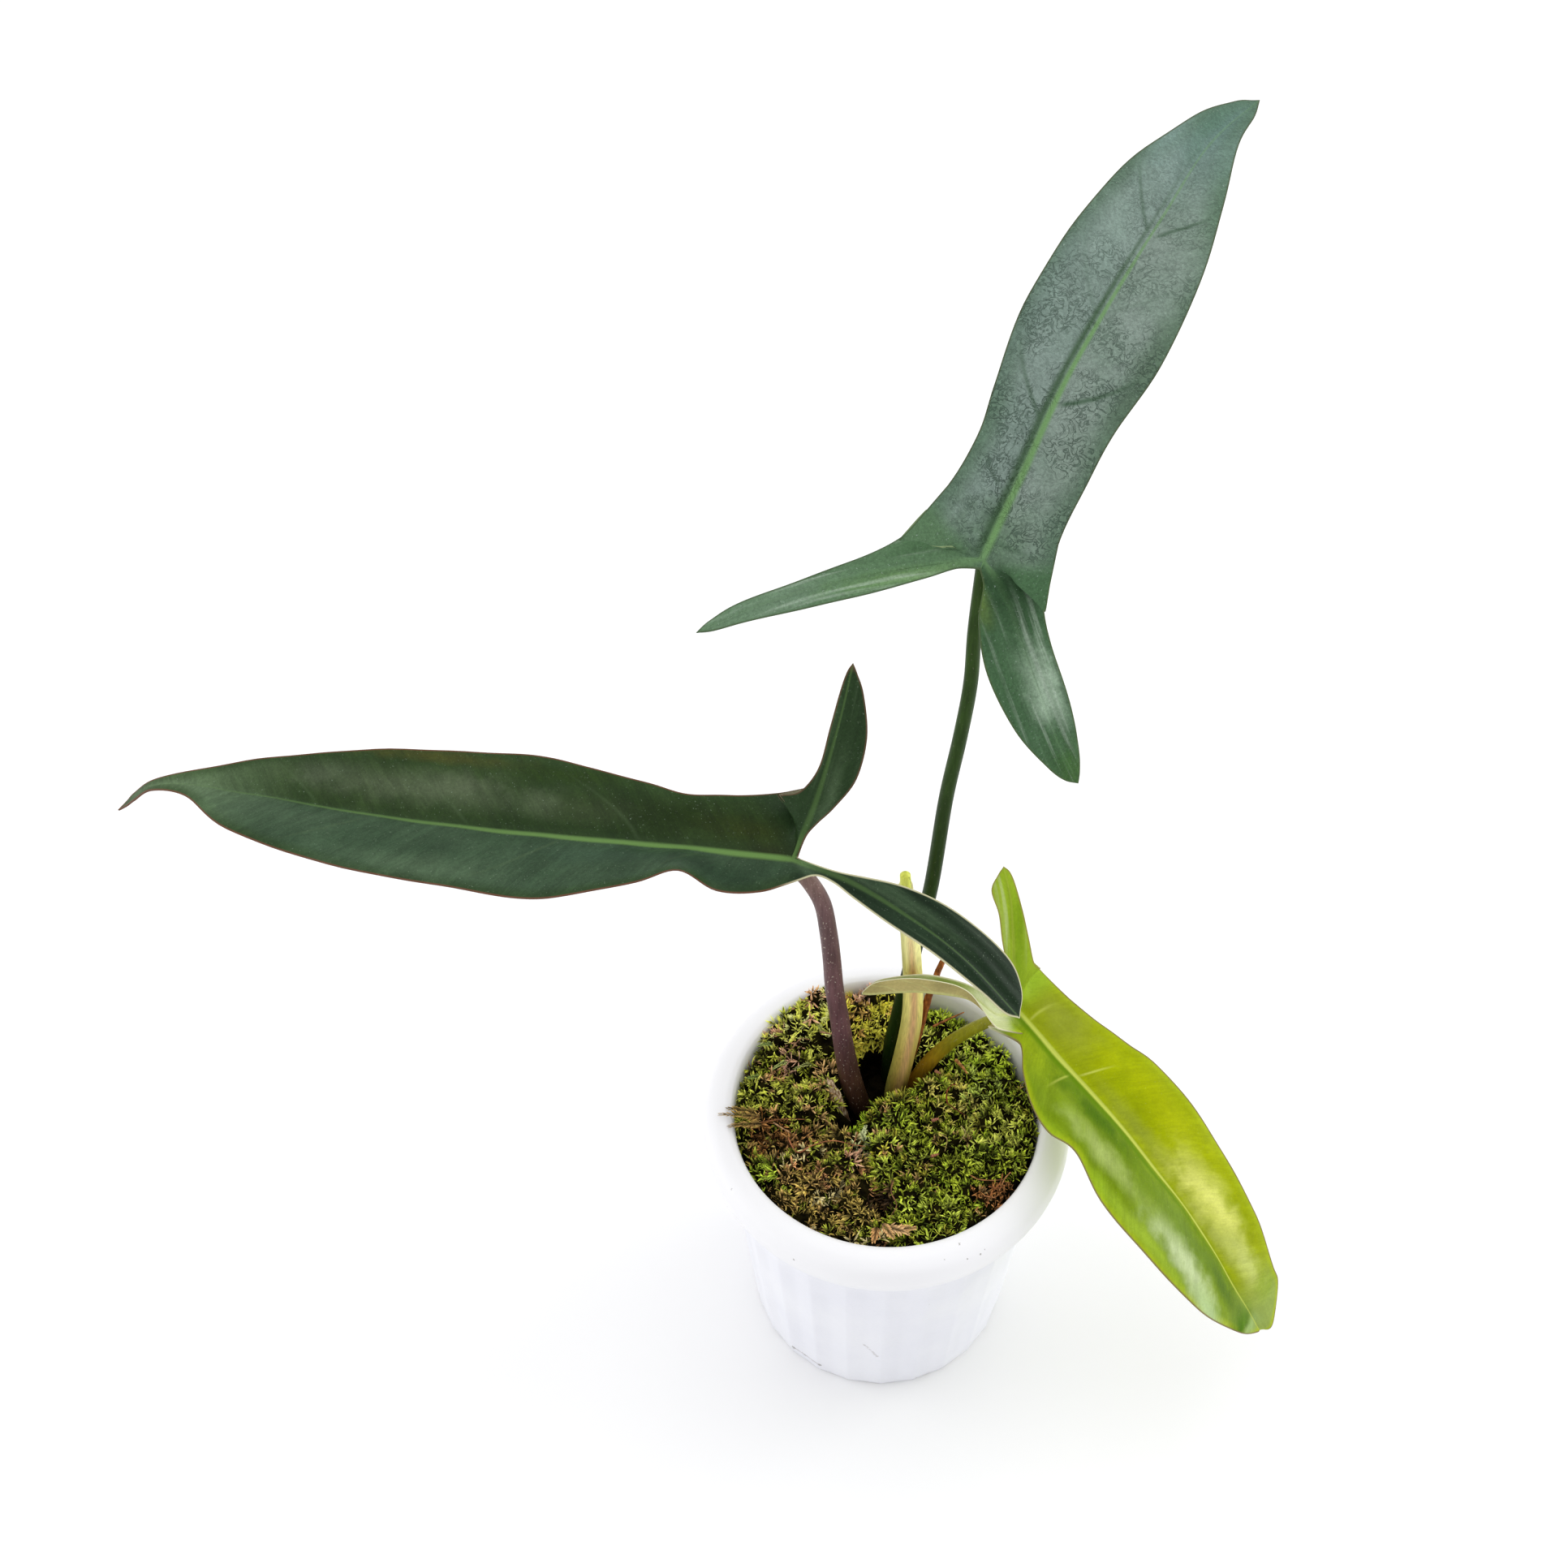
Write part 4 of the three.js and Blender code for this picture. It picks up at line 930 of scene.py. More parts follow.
    def main_rib(self, colour):
        """The main rib with painted shade in a groove beside it, and the leaf's thin margin."""
        paint = self.paint
        strength, side, tint = paint["groove"]
        half_width = self.ramp(self.tipward, 0, 0.8, paint["rib_width"], paint["rib_width"] * 0.32)
        beside = self.near(self.math("DIVIDE", self.math("SUBTRACT", self.off, side), half_width), 0, 2.2)
        groove = self.times(beside, self.ramp(self.tipward, 0.9, 0.4), self.parts["main"], strength)
        colour = self.mix(groove, colour, tint)
        fading = self.ramp(self.tipward, 1.0, paint["rib_fade"], paint["rib_end"], 1)
        held = self.between(self.on_lobe, fading, paint["lobe_rib"])
        ratio = self.math("DIVIDE", self.away, half_width)
        colour = self.mix(self.times(self.ramp(ratio, 1.5, 0.3), held), colour, paint["rib"])
        main, first, second = paint["margins"]
        rim = self.mix(self.second, self.mix(self.parts["first"], main, first), second)
        return self.mix(self.ramp(self.margin, paint["margin_width"], 0.3, 0, 0.85), colour, rim)


def leaf_material(name, paint, look, length):
    leaf = LeafShader(name, paint)
    colour, height = leaf.stripes(leaf.zones()), 0.0
    if "mottle" in paint:
        colour, height = leaf.mottling(colour)
    grain = leaf.noise(1.1, detail=4, rough=0.75)
    colour = leaf.vary(colour, grain, 1 - paint["grain"], 1 + paint["grain"])
    strength, tint = paint["dust"]
    dust = leaf.ramp(leaf.noise(0.9, rough=0.7), 0.64, 0.72, 0, strength)
    colour = leaf.side_veins(leaf.mix(dust, colour, tint), look["veins"], length)
    height = leaf.math("ADD", height, leaf.times(grain, 0.8))
    return leaf.finish(leaf.main_rib(colour), height, paint["bump"])


def underside_material(name, colour, lobe_colour, vein_colour):
    """The underside of a leaf. lobe_colour is that of the second lobe."""
    shader = Shader(name, 0.6, 0.1)
    away = shader.math("ABSOLUTE", shader.value("off"))
    turned = shader.math("FRACT", shader.math("ADD", shader.value("phase"), 0.5))
    wrapped = shader.math("ABSOLUTE", shader.math("SUBTRACT", turned, 0.5))
    own = shader.mix(shader.ramp(shader.value("lobe_side"), 0.1, 0.6), colour, lobe_colour)
    mixed = shader.vary(own, shader.noise(16), 0.85, 1.15)
    mixed = shader.mix(shader.ramp(wrapped, 0.06, 0.01, 0, 0.5), mixed, vein_colour)
    mixed = shader.mix(shader.ramp(away, 2.4, 1.2), mixed, vein_colour)
    streaks = shader.noise(1.1, detail=4)
    return shader.finish(shader.vary(mixed, streaks, 0.92, 1.08), streaks, 0.05)


TALL_LOOK = {
    "spacing": 21, "ridge": 0.4, "groove": 0.5, "pleat": 0.4, "pleat_width": 7, "wave": 0.9, "grain": 0.06,
    "puff": 0.5,
    "veins": [
        # side, foot as a share of the rib, lean towards the tip, further lean, depth, how strongly it shows
        (1, 0.26, 0.75, 0.014, 0.6, 0.6), (1, 0.62, 0.6, 0.03, 0.6, 0.55), (-1, 0.04, 0.1, 0.01, 0.4, 0.5),
        (-1, 0.3, 0.2, 0.022, 0.8, 0.9), (-1, 0.62, 0.25, 0.03, 0.7, 0.75), (1, 0.02, -0.5, 0, 0.4, 0.5),
        (1, 0.45, 0.6, 0.02, 0.3, 0.2), (-1, 0.47, 0.3, 0.02, 0.3, 0.2), (1, 0.12, 0.6, 0.02, 0.35, 0.3),
    ],
}
TALL_PAINT = {
    # Two shades each of the halves to the left and right of the rib: body, other. Mottling: size, share of
    # the rib where it ends, strength, colour. Dust: strength, colour. Groove, painted shade beside the rib:
    # strength, place across, colour. Margins: of the blade, the first lobe and the second. Bands and streaks:
    # strengths of painted sheen along the side veins and the lobes.
    "roughness": 0.45, "gloss": 0.12,
    # The greyish shades of both halves hold the blade's own waxy grey-green and painted sheen.
    "body": ((114, 132, 123), (124, 141, 133)),
    "other": ((112, 130, 118), (124, 139, 130)),
    "tip": (94, 121, 116), "tip_zone": (0.6, 0.95),
    "edge": (74, 102, 78), "edge_width": 11,
    "first_lobe": (84, 114, 82), "second_lobe": (66, 98, 66),
    "patches": [
        # part, middle and half length along the rib, middle and half width across in mm, colour, strength
        ("main", 0.02, 0.14, 0, 30, (78, 108, 76), 0.7),
        ("main", 0.45, 0.3, 22, 8, (112, 130, 124), 0.5),
        ("main", 0.35, 0.3, -24, 9, (82, 102, 84), 0.7),
        ("main", 0.62, 0.2, 12, 9, (122, 142, 132), 0.55),
        ("main", 0.86, 0.13, 4, 6, (80, 112, 94), 0.8),
        ("main", 0.8, 0.14, 15, 7, (118, 142, 136), 0.7),
        ("main", 0.85, 0.15, -10, 8, (112, 138, 130), 0.5),
        ("main", 0.55, 0.12, -20, 10, (128, 144, 134), 0.5),
        ("main", 0.2, 0.16, -14, 11, (112, 128, 116), 0.6),
        ("first", 0.2, 0.35, 8, 9, (64, 96, 62), 0.8),
        ("first", 0.3, 0.4, -3, 5, (112, 148, 90), 0.6),
        ("first", 0.75, 0.35, 0, 9, (112, 134, 114), 0.5),
        ("second", 0.14, 0.34, 0, 16, (40, 68, 40), 0.95),
        ("second", 0.1, 0.22, 9, 5, (116, 140, 62), 0.6),
        # painted sheen down the middle of the second lobe
        ("second", 0.56, 0.22, -3, 12, (160, 182, 160), 0.8),
        ("second", 0.95, 0.25, 0, 12, (54, 92, 38), 0.95),
    ],
    "stripes": 0.07, "bands": 0.06, "streaks": 0.6, "sheen_streak_colour": (168, 184, 168),
    "mottle": (4.2, 1.1, 0.75, (60, 80, 68)), "grain": 0.2,
    "dust": (0.5, (176, 192, 182)),
    # The side veins' dark colour is painted shade in their furrows.
    "vein_colour": (60, 86, 64), "vein_width": 2.2, "vein_reach": 40,
    "rib": (106, 144, 92), "rib_width": 1.5, "rib_fade": 0.3, "rib_end": 0.2, "lobe_rib": 0.08,
    "groove": (0.85, 2.2, (52, 80, 50)),
    "margins": ((74, 84, 58), (70, 88, 60), (74, 92, 56)), "margin_width": 0.8,
    "bump": 0.3,
}
LEFT_LOOK = {
    "spacing": 17, "ridge": 0.3, "groove": 0.3, "pleat": 0.25, "pleat_width": 6, "wave": 0.6, "grain": 0.04,
    "puff": 0.4,
    "veins": [
        (1, 0.3, 0.9, 0.01, 0.25, 0.25), (1, 0.55, 0.9, 0.01, 0.2, 0.2), (-1, 0.42, 0.7, 0.02, 0.3, 0.2),
        (-1, 0.62, 0.7, 0.02, 0.3, 0.2), (-1, 0.2, 0.5, 0.02, 0.3, 0.2), (1, 0.12, 0.6, 0.01, 0.25, 0.2),
    ],
}
LEFT_PAINT = {
    "roughness": 0.4, "gloss": 0.1,
    "body": ((46, 67, 46), (56, 77, 55)),
    "other": ((31, 51, 18), (43, 62, 28)),
    "tip": (98, 120, 88), "tip_zone": (0.62, 0.9),
    "edge": (40, 62, 28), "edge_width": 6,
    "first_lobe": (24, 42, 24), "second_lobe": (38, 58, 32),
    "patches": [
        ("main", 0.16, 0.16, -13, 13, (20, 38, 0), 0.9),
        # painted sheen on the far half, in this patch and the three after it
        ("main", 0.5, 0.25, -14, 11, (74, 86, 62), 0.75),
        ("main", 0.62, 0.06, -15, 9, (88, 100, 78), 0.3),
        ("main", 0.44, 0.07, -17, 9, (86, 96, 74), 0.35),
        ("main", 0.33, 0.04, -13, 8, (78, 92, 66), 0.6),
        ("main", 0.27, 0.1, -12, 9, (54, 66, 40), 0.5),
        ("main", 0.05, 0.12, -10, 9, (40, 50, 12), 0.8),
        ("main", 0.02, 0.08, -2, 5, (34, 34, 14), 0.7),
        ("main", 0.47, 0.16, -29, 5, (64, 64, 20), 0.7),
        ("main", 0.3, 0.12, -26, 6, (34, 54, 10), 0.8),
        ("main", 0.72, 0.14, -22, 8, (30, 52, 16), 0.8),
        ("main", 0.84, 0.1, -8, 8, (78, 104, 64), 0.7),
        ("main", 0.45, 0.16, 22, 9, (78, 100, 74), 0.7),
        ("main", 0.66, 0.14, 8, 10, (64, 84, 62), 0.7),
        ("main", 0.82, 0.13, 13, 9, (92, 118, 84), 0.8),
        ("main", 0.12, 0.12, 12, 9, (36, 56, 38), 0.8),
        ("main", 0.25, 0.12, 8, 9, (50, 72, 54), 0.7),
        ("second", 0.35, 0.3, 4, 5, (78, 98, 70), 0.6),
        ("second", 0.7, 0.3, -4, 5, (66, 90, 58), 0.6),
        ("first", 0.55, 0.3, 3, 5, (44, 64, 44), 0.5),
        ("first", 0.06, 0.1, 0, 8, (96, 122, 90), 0.6),
        ("first", 0.45, 0.4, -4, 5, (66, 88, 62), 0.6),
        ("second", 0.99, 0.05, 0, 8, (92, 74, 56), 0.9),
    ],
    "stripes": 0.12, "bands": 0.14, "streaks": 0.25, "sheen_streak_colour": (88, 108, 80),
    "grain": 0.14,
    "dust": (0.5, (128, 146, 124)),
    "vein_colour": (80, 100, 68), "vein_width": 1.6, "vein_reach": 40,
    "rib": (98, 132, 70), "rib_width": 1.35, "rib_fade": 0.1, "rib_end": 0.0, "lobe_rib": 0.3,
    "groove": (0.2, -2.6, (34, 52, 28)),
    "margins": ((104, 66, 50), (206, 202, 164), (96, 74, 56)), "margin_width": 0.9,
    "bump": 0.12,
}
LIME_LOOK = {
    "spacing": 18, "ridge": 0.3, "groove": 0.3, "pleat": 0.35, "pleat_width": 6, "wave": 0.6, "grain": 0.04,
    "puff": 0.5,
    "veins": [
        (1, 0.2, 0.6, -0.002, -0.2, 0.75), (-1, 0.19, -0.25, 0.004, -0.2, 0.5), (1, 0.03, 0.4, 0, -0.2, 0.6),
        (1, 0.5, 0.3, 0.01, 0.3, 0.0), (-1, 0.55, 0.3, 0.01, 0.4, 0.0), (1, 0.8, 0.2, 0.01, 0.2, 0.0),
    ],
}
LIME_PAINT = {
    "roughness": 0.42, "gloss": 0.04,
    "body": ((141, 155, 0), (152, 164, 0)),
    "other": ((106, 132, 4), (120, 144, 28)),
    "tip": (140, 158, 76), "tip_zone": (0.8, 0.97),
    "edge": (158, 174, 22), "edge_width": 4,
    "first_lobe": (152, 180, 44), "second_lobe": (190, 198, 142),
    "patches": [
        # the half to the right of the picture
        ("main", 0.08, 0.16, 12, 14, (148, 158, 50), 0.8),
        ("main", 0.4, 0.22, 5, 6, (144, 156, 44), 0.85),
        ("main", 0.68, 0.16, 4, 5, (140, 152, 50), 0.75),
        ("main", 0.38, 0.26, 20, 10, (168, 178, 2), 0.7),
        # painted sheen, in this patch and the next
        ("main", 0.62, 0.2, 11.5, 12, (222, 224, 122), 0.8),
        ("main", 0.8, 0.14, 10, 9, (206, 214, 128), 0.65),
        ("main", 0.92, 0.06, 14, 10, (134, 158, 40), 0.6),
        # the half to the left
        ("main", 0.08, 0.14, -9, 11, (146, 166, 24), 0.8),
        ("main", 0.3, 0.22, -6, 7, (72, 106, 0), 1.0),
        # painted sheen
        ("main", 0.36, 0.18, -16, 7, (156, 174, 92), 1.0),
        ("main", 0.3, 0.3, -28, 6, (142, 172, 30), 0.8),
        ("main", 0.62, 0.22, -8, 8, (104, 130, 44), 0.85),
        # painted sheen
        ("main", 0.66, 0.2, -18, 9, (188, 203, 152), 0.95),
        ("main", 0.55, 0.25, -27, 5, (150, 176, 50), 0.8),
        ("main", 0.8, 0.16, -6, 7, (78, 106, 30), 0.9),
        # painted sheen
        ("main", 0.8, 0.15, -20, 7, (168, 190, 132), 1.0),
        ("main", 0.92, 0.06, -10, 16, (72, 112, 8), 1.0),
        # painted sheen near the tip
        ("main", 0.96, 0.03, -6, 14, (146, 172, 104), 0.8),
        ("first", 0.5, 0.5, 2, 4, (112, 146, 16), 0.8),
        ("first", 0.6, 0.5, -5, 4, (164, 184, 76), 0.7),
        ("second", 0.25, 0.3, 0, 9, (206, 212, 172), 0.85),
        ("second", 0.5, 0.3, 4, 6, (128, 150, 40), 0.7),
    ],
    "stripes": 0.08, "bands": 0.07, "streaks": 0.5, "sheen_streak_colour": (206, 214, 168),
    "grain": 0.06,
    "dust": (0.15, (214, 224, 140)),
    "vein_colour": (196, 204, 92), "vein_width": 0.9, "vein_reach": 17,
    "rib": (188, 198, 86), "rib_width": 1.1, "rib_fade": 0.7, "rib_end": 0.5, "lobe_rib": 0.25,
    "groove": (0.8, -2.0, (92, 128, 4)),
    "margins": ((122, 100, 72), (150, 140, 70), (226, 222, 190)), "margin_width": 0.8,
    "bump": 0.1,
}


# Round stalks
def tube(points, radii, steps, sides, cap=0.6):
    """A round tube with domed ends along a smooth path, and the share along and angle round of each point."""
    path, _ = evenly(points, steps + 1)
    tangent = unit(np.gradient(path, axis=0))
    normal = unit(np.cross(tangent[0], [0.3, 1, 0.2]))
    normals = []
    for direction in tangent:
        normal = unit(normal - direction * np.dot(normal, direction))
        normals.append(normal)
    normals = np.array(normals)
    share = np.linspace(0, 1, steps + 1)
    radius = along(radii, share)
    angle = circle(sides)
    ring = (normals[:, None] * np.cos(angle)[None, :, None]
            + np.cross(tangent, normals)[:, None] * np.sin(angle)[None, :, None])
    net = (path[:, None] + ring * radius[:, None, None]).reshape(-1, 3)
    ends = np.array([path[0] - tangent[0] * cap * radius[0], path[-1] + tangent[-1] * cap * radius[-1]])
    values = {
        "share": np.concatenate([np.repeat(share, sides), [0, 1]]),
        "turn": np.concatenate([np.tile(angle, steps + 1), [0, 0]]),
    }
    return np.concatenate([net, ends]), ring_faces(steps + 1, sides), values


TALL_STALK = {
    "points": [[2, 32.5, 101], [2.4, 33.4, 116], [3, 35.3, 133], [6, 37.8, 156.5], [11, 42, 195],
               [16, 46, 231], [19.7, 51, 279], [23.7, 54.6, 312], [26.3, 57.5, 340], [26.6, 60.5, 366],
               [28, 63.4, 398]],
    "radii": [3.4, 3.3, 3, 2.9, 2.8, 2.7, 2.5],
    "skin": "tall_stalk_green", "streak": 0.15, "flecks": 0.1, "gloss": 0.1,
    "stops": [(0, (20, 34, 8)), (0.25, (28, 48, 12)), (1, (48, 72, 26))],
}
LEFT_STALK = {
    "points": [[-6.5, 19, 101], [-9, 17.5, 110], [-13.5, 17.6, 129], [-17, 18.2, 153], [-19.4, 18.9, 176],
               [-21.8, 19.5, 197], [-23.2, 20.2, 218], [-24.7, 20.7, 235], [-27, 21.3, 252],
               [-31.5, 22.2, 264], [-38, 23.5, 274.5]],
    "radii": [4.6, 4.7, 4.1, 3.8, 3.6, 3.4, 3.2],
    "skin": "left_stalk_purple", "streak": 0.17, "flecks": 0.85, "gloss": 0.12,
    "stops": [(0, (54, 36, 22)), (0.2, (72, 48, 38)), (0.4, (98, 68, 72)), (0.85, (100, 76, 76)),
              (1, (122, 100, 92))],
}
LIME_STALK = {
    "points": [[11, 26.8, 101], [12, 26.8, 112], [14.5, 26.9, 122], [20, 27, 136], [29, 26.7, 151],
               [40, 25.5, 164], [51.5, 23.3, 173.4]],
    "radii": [3.4, 3.4, 3.1, 2.8, 2.5, 2.4],
    "skin": "lime_stalk_olive", "streak": 0.15, "flecks": 0.3, "gloss": 0.15,
    "stops": [(0, (170, 98, 26)), (0.35, (154, 118, 24)), (0.7, (138, 136, 26)),
              (1, (150, 152, 54))],
}
STALK_STEPS = 90
STALK_SIDES = 32
FLECK_COLOUR = (196, 182, 166)


def stalk_material(name, stops, streak, flecks, gloss):
    """stops are [share along the stalk, colour]. flecks is how strongly pale flecks show."""
    shader = Shader(name, 0.42, gloss)
    share = shader.value("share")
    colour = stops[0][1]
    for (start, _), (end, next_colour) in zip(stops, stops[1:]):
        colour = shader.mix(shader.ramp(share, start, end), colour, next_colour)
    lines = shader.grain(1.1, along=0.06)
    for noise in (lines, shader.grain(9, 3, 0.4)):
        colour = shader.vary(colour, noise, 1 - streak, 1 + streak)
    spots = shader.ramp(shader.grain(0.75, 2, 0.6), 0.64, 0.73, 0, flecks)
    return shader.finish(shader.mix(spots, colour, FLECK_COLOUR), lines, 0.12)


def add_stalk(name, stalk, node):
    material = stalk_material(stalk["skin"], stalk["stops"], stalk["streak"], stalk["flecks"], stalk["gloss"])
    points, faces, values = tube(stalk["points"], stalk["radii"], STALK_STEPS, STALK_SIDES, cap=0.25)
    add_piece(name, points, faces, [material], [node], values, sharp=60)


# New leaf, its sheath, and what is left of older sheaths
SPIKE_PATH = [
    [4.5, 22, 101], [4.7, 22.2, 118], [7.7, 23.7, 143], [9.9, 25.4, 165], [9.9, 26.9, 186],
    [8, 28.7, 214], [5.6, 30.4, 241], [4.5, 31.5, 257],
]
SPIKE_RADII = [2.8, 2.9, 2.8, 2.8, 2.7, 2.5, 2.1]
SPIKE_STEPS = 120
SPIKE_SIDES = 40
SPIKE_TURNS = 1.6                 # how often the rolled blade's edge winds round the spike
SPIKE_LAP = 0.28                  # how far that edge stands proud
SHEATH = {
    "radii": [4.3, 4.4, 4.3, 4.2, 4, 3.8, 3.5, 2.6],
    "thickness": 0.6,
    "slit_width": 50,                 # degrees, with its middle to the right
    "length": 0.96,                   # as a share of the new leaf's
}
SHEATH_STEPS = 90
SHEATH_COLUMNS = 44


def add_new_leaf():
    points, faces, values = tube(SPIKE_PATH, SPIKE_RADII, SPIKE_STEPS, SPIKE_SIDES, cap=1.2)
    centre, _ = evenly(SPIKE_PATH, SPIKE_STEPS + 1)
    centres = np.concatenate([np.repeat(centre, SPIKE_SIDES, axis=0), centre[[0, -1]]])
    winding = (values["turn"] / (2 * math.pi) + SPIKE_TURNS * values["share"]) % 1
    lap = SPIKE_LAP * winding * step_up(values["share"], 1, 0.9)
    points = points + unit(points - centres) * lap[:, None]
    values["winding"] = winding
    shader = Shader("rolled_leaf", 0.42, 0.35)
    colour = shader.mix(shader.ramp(shader.value("share"), 0.3, 0.95), (150, 164, 66), (212, 218, 88))
    lines = shader.grain(0.8, along=0.05)
    colour = shader.vary(colour, lines, 0.86, 1.12)
    colour = shader.mix(shader.near(shader.value("winding"), 0.02, 0.05), colour, (96, 112, 34))
    add_piece("rolled_leaf", points, faces, [shader.finish(colour, lines, 0.1)], ["new_leaf"],
              values, sharp=60)


def sheath_material(name, light):
    """The sheath's dry skin, with a green and a pink band up it and dark spots. light is how bright it is;
    below 1 it is painted shade.
    """
    shader = Shader(name, 0.5, 0.3)
    share, side = shader.value("share"), shader.value("side")
    colour = shader.mix(shader.ramp(share, 0.04, 0.34), (132, 104, 30), (202, 178, 92))
    colour = shader.mix(shader.ramp(share, 0.25, 0.55), colour, (250, 238, 142))
    colour = shader.mix(shader.ramp(share, 0.5, 0.9), colour, (255, 254, 180))
    colour = shader.mix(shader.times(shader.near(side, 0.52, 0.22), 0.7), colour, (156, 156, 66))
    pink = shader.times(shader.near(side, 0.8, 0.12), shader.ramp(share, 0.12, 0.4, 0.3, 0.85),
                        shader.ramp(share, 0.9, 0.6, 0.3, 1.0))
    colour = shader.mix(pink, colour, (220, 170, 126))
    lines = shader.grain(0.55, along=0.03)
    colour = shader.shade(shader.vary(colour, lines, 0.8, 1.16, (0.28, 0.72)), light)
    spots = shader.ramp(shader.grain(2.2, along=0.4), 0.62, 0.75, 0, 0.5)
    return shader.finish(shader.mix(spots, colour, (120, 72, 34)), lines, 0.14)


def add_sheath():
    share = np.linspace(0, SHEATH["length"], SHEATH_STEPS + 1)
    centre = along(evenly(SPIKE_PATH, CURVE_STEPS + 1)[0], share)[:, :, None]
    radius = along(SHEATH["radii"], share)[:, None]
    side = np.linspace(0, 1, SHEATH_COLUMNS + 1)[None, :]
    angle = math.radians(SHEATH["slit_width"] / 2) + math.radians(360 - SHEATH["slit_width"]) * side
    # The free edges stand a little further out, more so near the top
    flare = 0.5 * (bump(side, 0.07) + bump(1 - side, 0.07)) * step_up(share, 0.3, 0.8)[:, None]
    ragged = 0.12 * np.sin(40 * angle) * step_up(share, 0.8, 1)[:, None]
    reach = radius + flare * step_up(share, 1.0, 0.9)[:, None] + 0.08 * np.sin(9 * angle) + ragged
    net = np.stack([centre[:, 0] + reach * np.cos(angle), centre[:, 1] + reach * np.sin(angle),
                    centre[:, 2] + 0 * angle], axis=-1)
    values = {"share": share[:, None] + 0 * angle, "side": side + 0 * share[:, None]}
    points, faces, values, marks = thick_sheet(net, SHEATH["thickness"], values, 2)
    rim = Shader("sheath_rim", 0.5, 0.3)
    # The inside is the outside's skin, darkened to 0.75 as painted shade.
    materials = [sheath_material("sheath_outside", 1.0), sheath_material("sheath_inside", 0.75),
                 rim.finish(rim.vary((232, 222, 176), rim.noise(2), 0.85, 1.05))]
    add_piece("fine_sheath", points, faces, materials, ["new_leaf_sheath"], values, marks=marks,
              sharp=50)


# Dry strips: their stations, each a place, half a width and the way it faces in degrees; how far they bow, as
# a share of that half width; how far they are crumpled; their colours, pale and dark, outside and inside
OLD_SHEATH = {
    "stations": [
        [[9.5, 34, 103], 1.6, -60], [[10, 34.2, 112], 1.8, -60], [[12.7, 35.2, 131], 2.2, -60],
        [[16.7, 37, 162], 2.2, -62], [[18.6, 37.7, 173], 2.1, -63], [[20.5, 38.3, 183], 1.9, -64],
        [[23, 38.8, 193], 1.6, -66], [[25.5, 39.3, 202], 1, -68],
    ],
    "thickness": 0.6,
    "bow": 0.5,
    "crumple": 0.25,
    "skin": "old_sheath",
    "shades": [((176, 106, 52), (112, 56, 22)), ((150, 92, 48), (96, 50, 22))],
}
DRY_SCRAP = {
    "stations": [
        [[-15, 9.5, 109], 1.8, -120], [[-16.5, 10, 116], 2.4, -115], [[-18.5, 11, 124], 2.9, -130],
        [[-21, 12.5, 132], 2.7, -100], [[-22.8, 15, 139.5], 1.7, -140],
    ],
    "thickness": 0.5,
    "bow": 0.8,
    "crumple": 0.9,
    "skin": "dry_scrap",
    "shades": [((250, 226, 190), (140, 100, 66)), ((190, 150, 108), (96, 66, 40))],
}
STRIP_STEPS = 70
STRIP_COLUMNS = 14


def add_strip(name, strip, node):
    """A thin dry strip along a path, bowed across and crumpled."""
    share = np.linspace(0, 1, STRIP_STEPS + 1)
    path, half, facing = zip(*strip["stations"])
    centre, half = spline(path, share), along(half, share)[:, None]
    facing = np.radians(along(facing, share))
    outward = np.stack([np.cos(facing), np.sin(facing), 0 * facing], axis=-1)[:, None]
    across = np.stack([-np.sin(facing), np.cos(facing), 0 * facing], axis=-1)[:, None]
    place = np.linspace(-1, 1, STRIP_COLUMNS + 1)[None, :]
    net = centre[:, None] + across * (half * place)[:, :, None]
    net = net + outward * (strip["bow"] * half * (1 - place ** 2))[:, :, None]
    crumple = waves(net.reshape(-1, 3) * [1, 1, 0.5], 4, SEED + 2, 7).reshape(net.shape[:2])
    net = net + outward * (strip["crumple"] * crumple)[:, :, None]
    points, faces, _, marks = thick_sheet(net, strip["thickness"], {}, 1)
    materials = [dry_material(strip["skin"] + face, *shades)
                 for face, shades in zip(("_out", "_in"), strip["shades"])]
    add_piece(name, points, faces, materials, [node], marks=marks, sharp=50)


def dry_material(name, pale, dark):
    shader = Shader(name, 0.65, 0.2)
    lines = shader.grain(0.7, 5, 0.08)
    colour = shader.mix(shader.ramp(lines, 0.35, 0.65), dark, pale)
    return shader.finish(shader.vary(colour, shader.noise(4, detail=4), 0.65, 1.2), lines, 0.25)


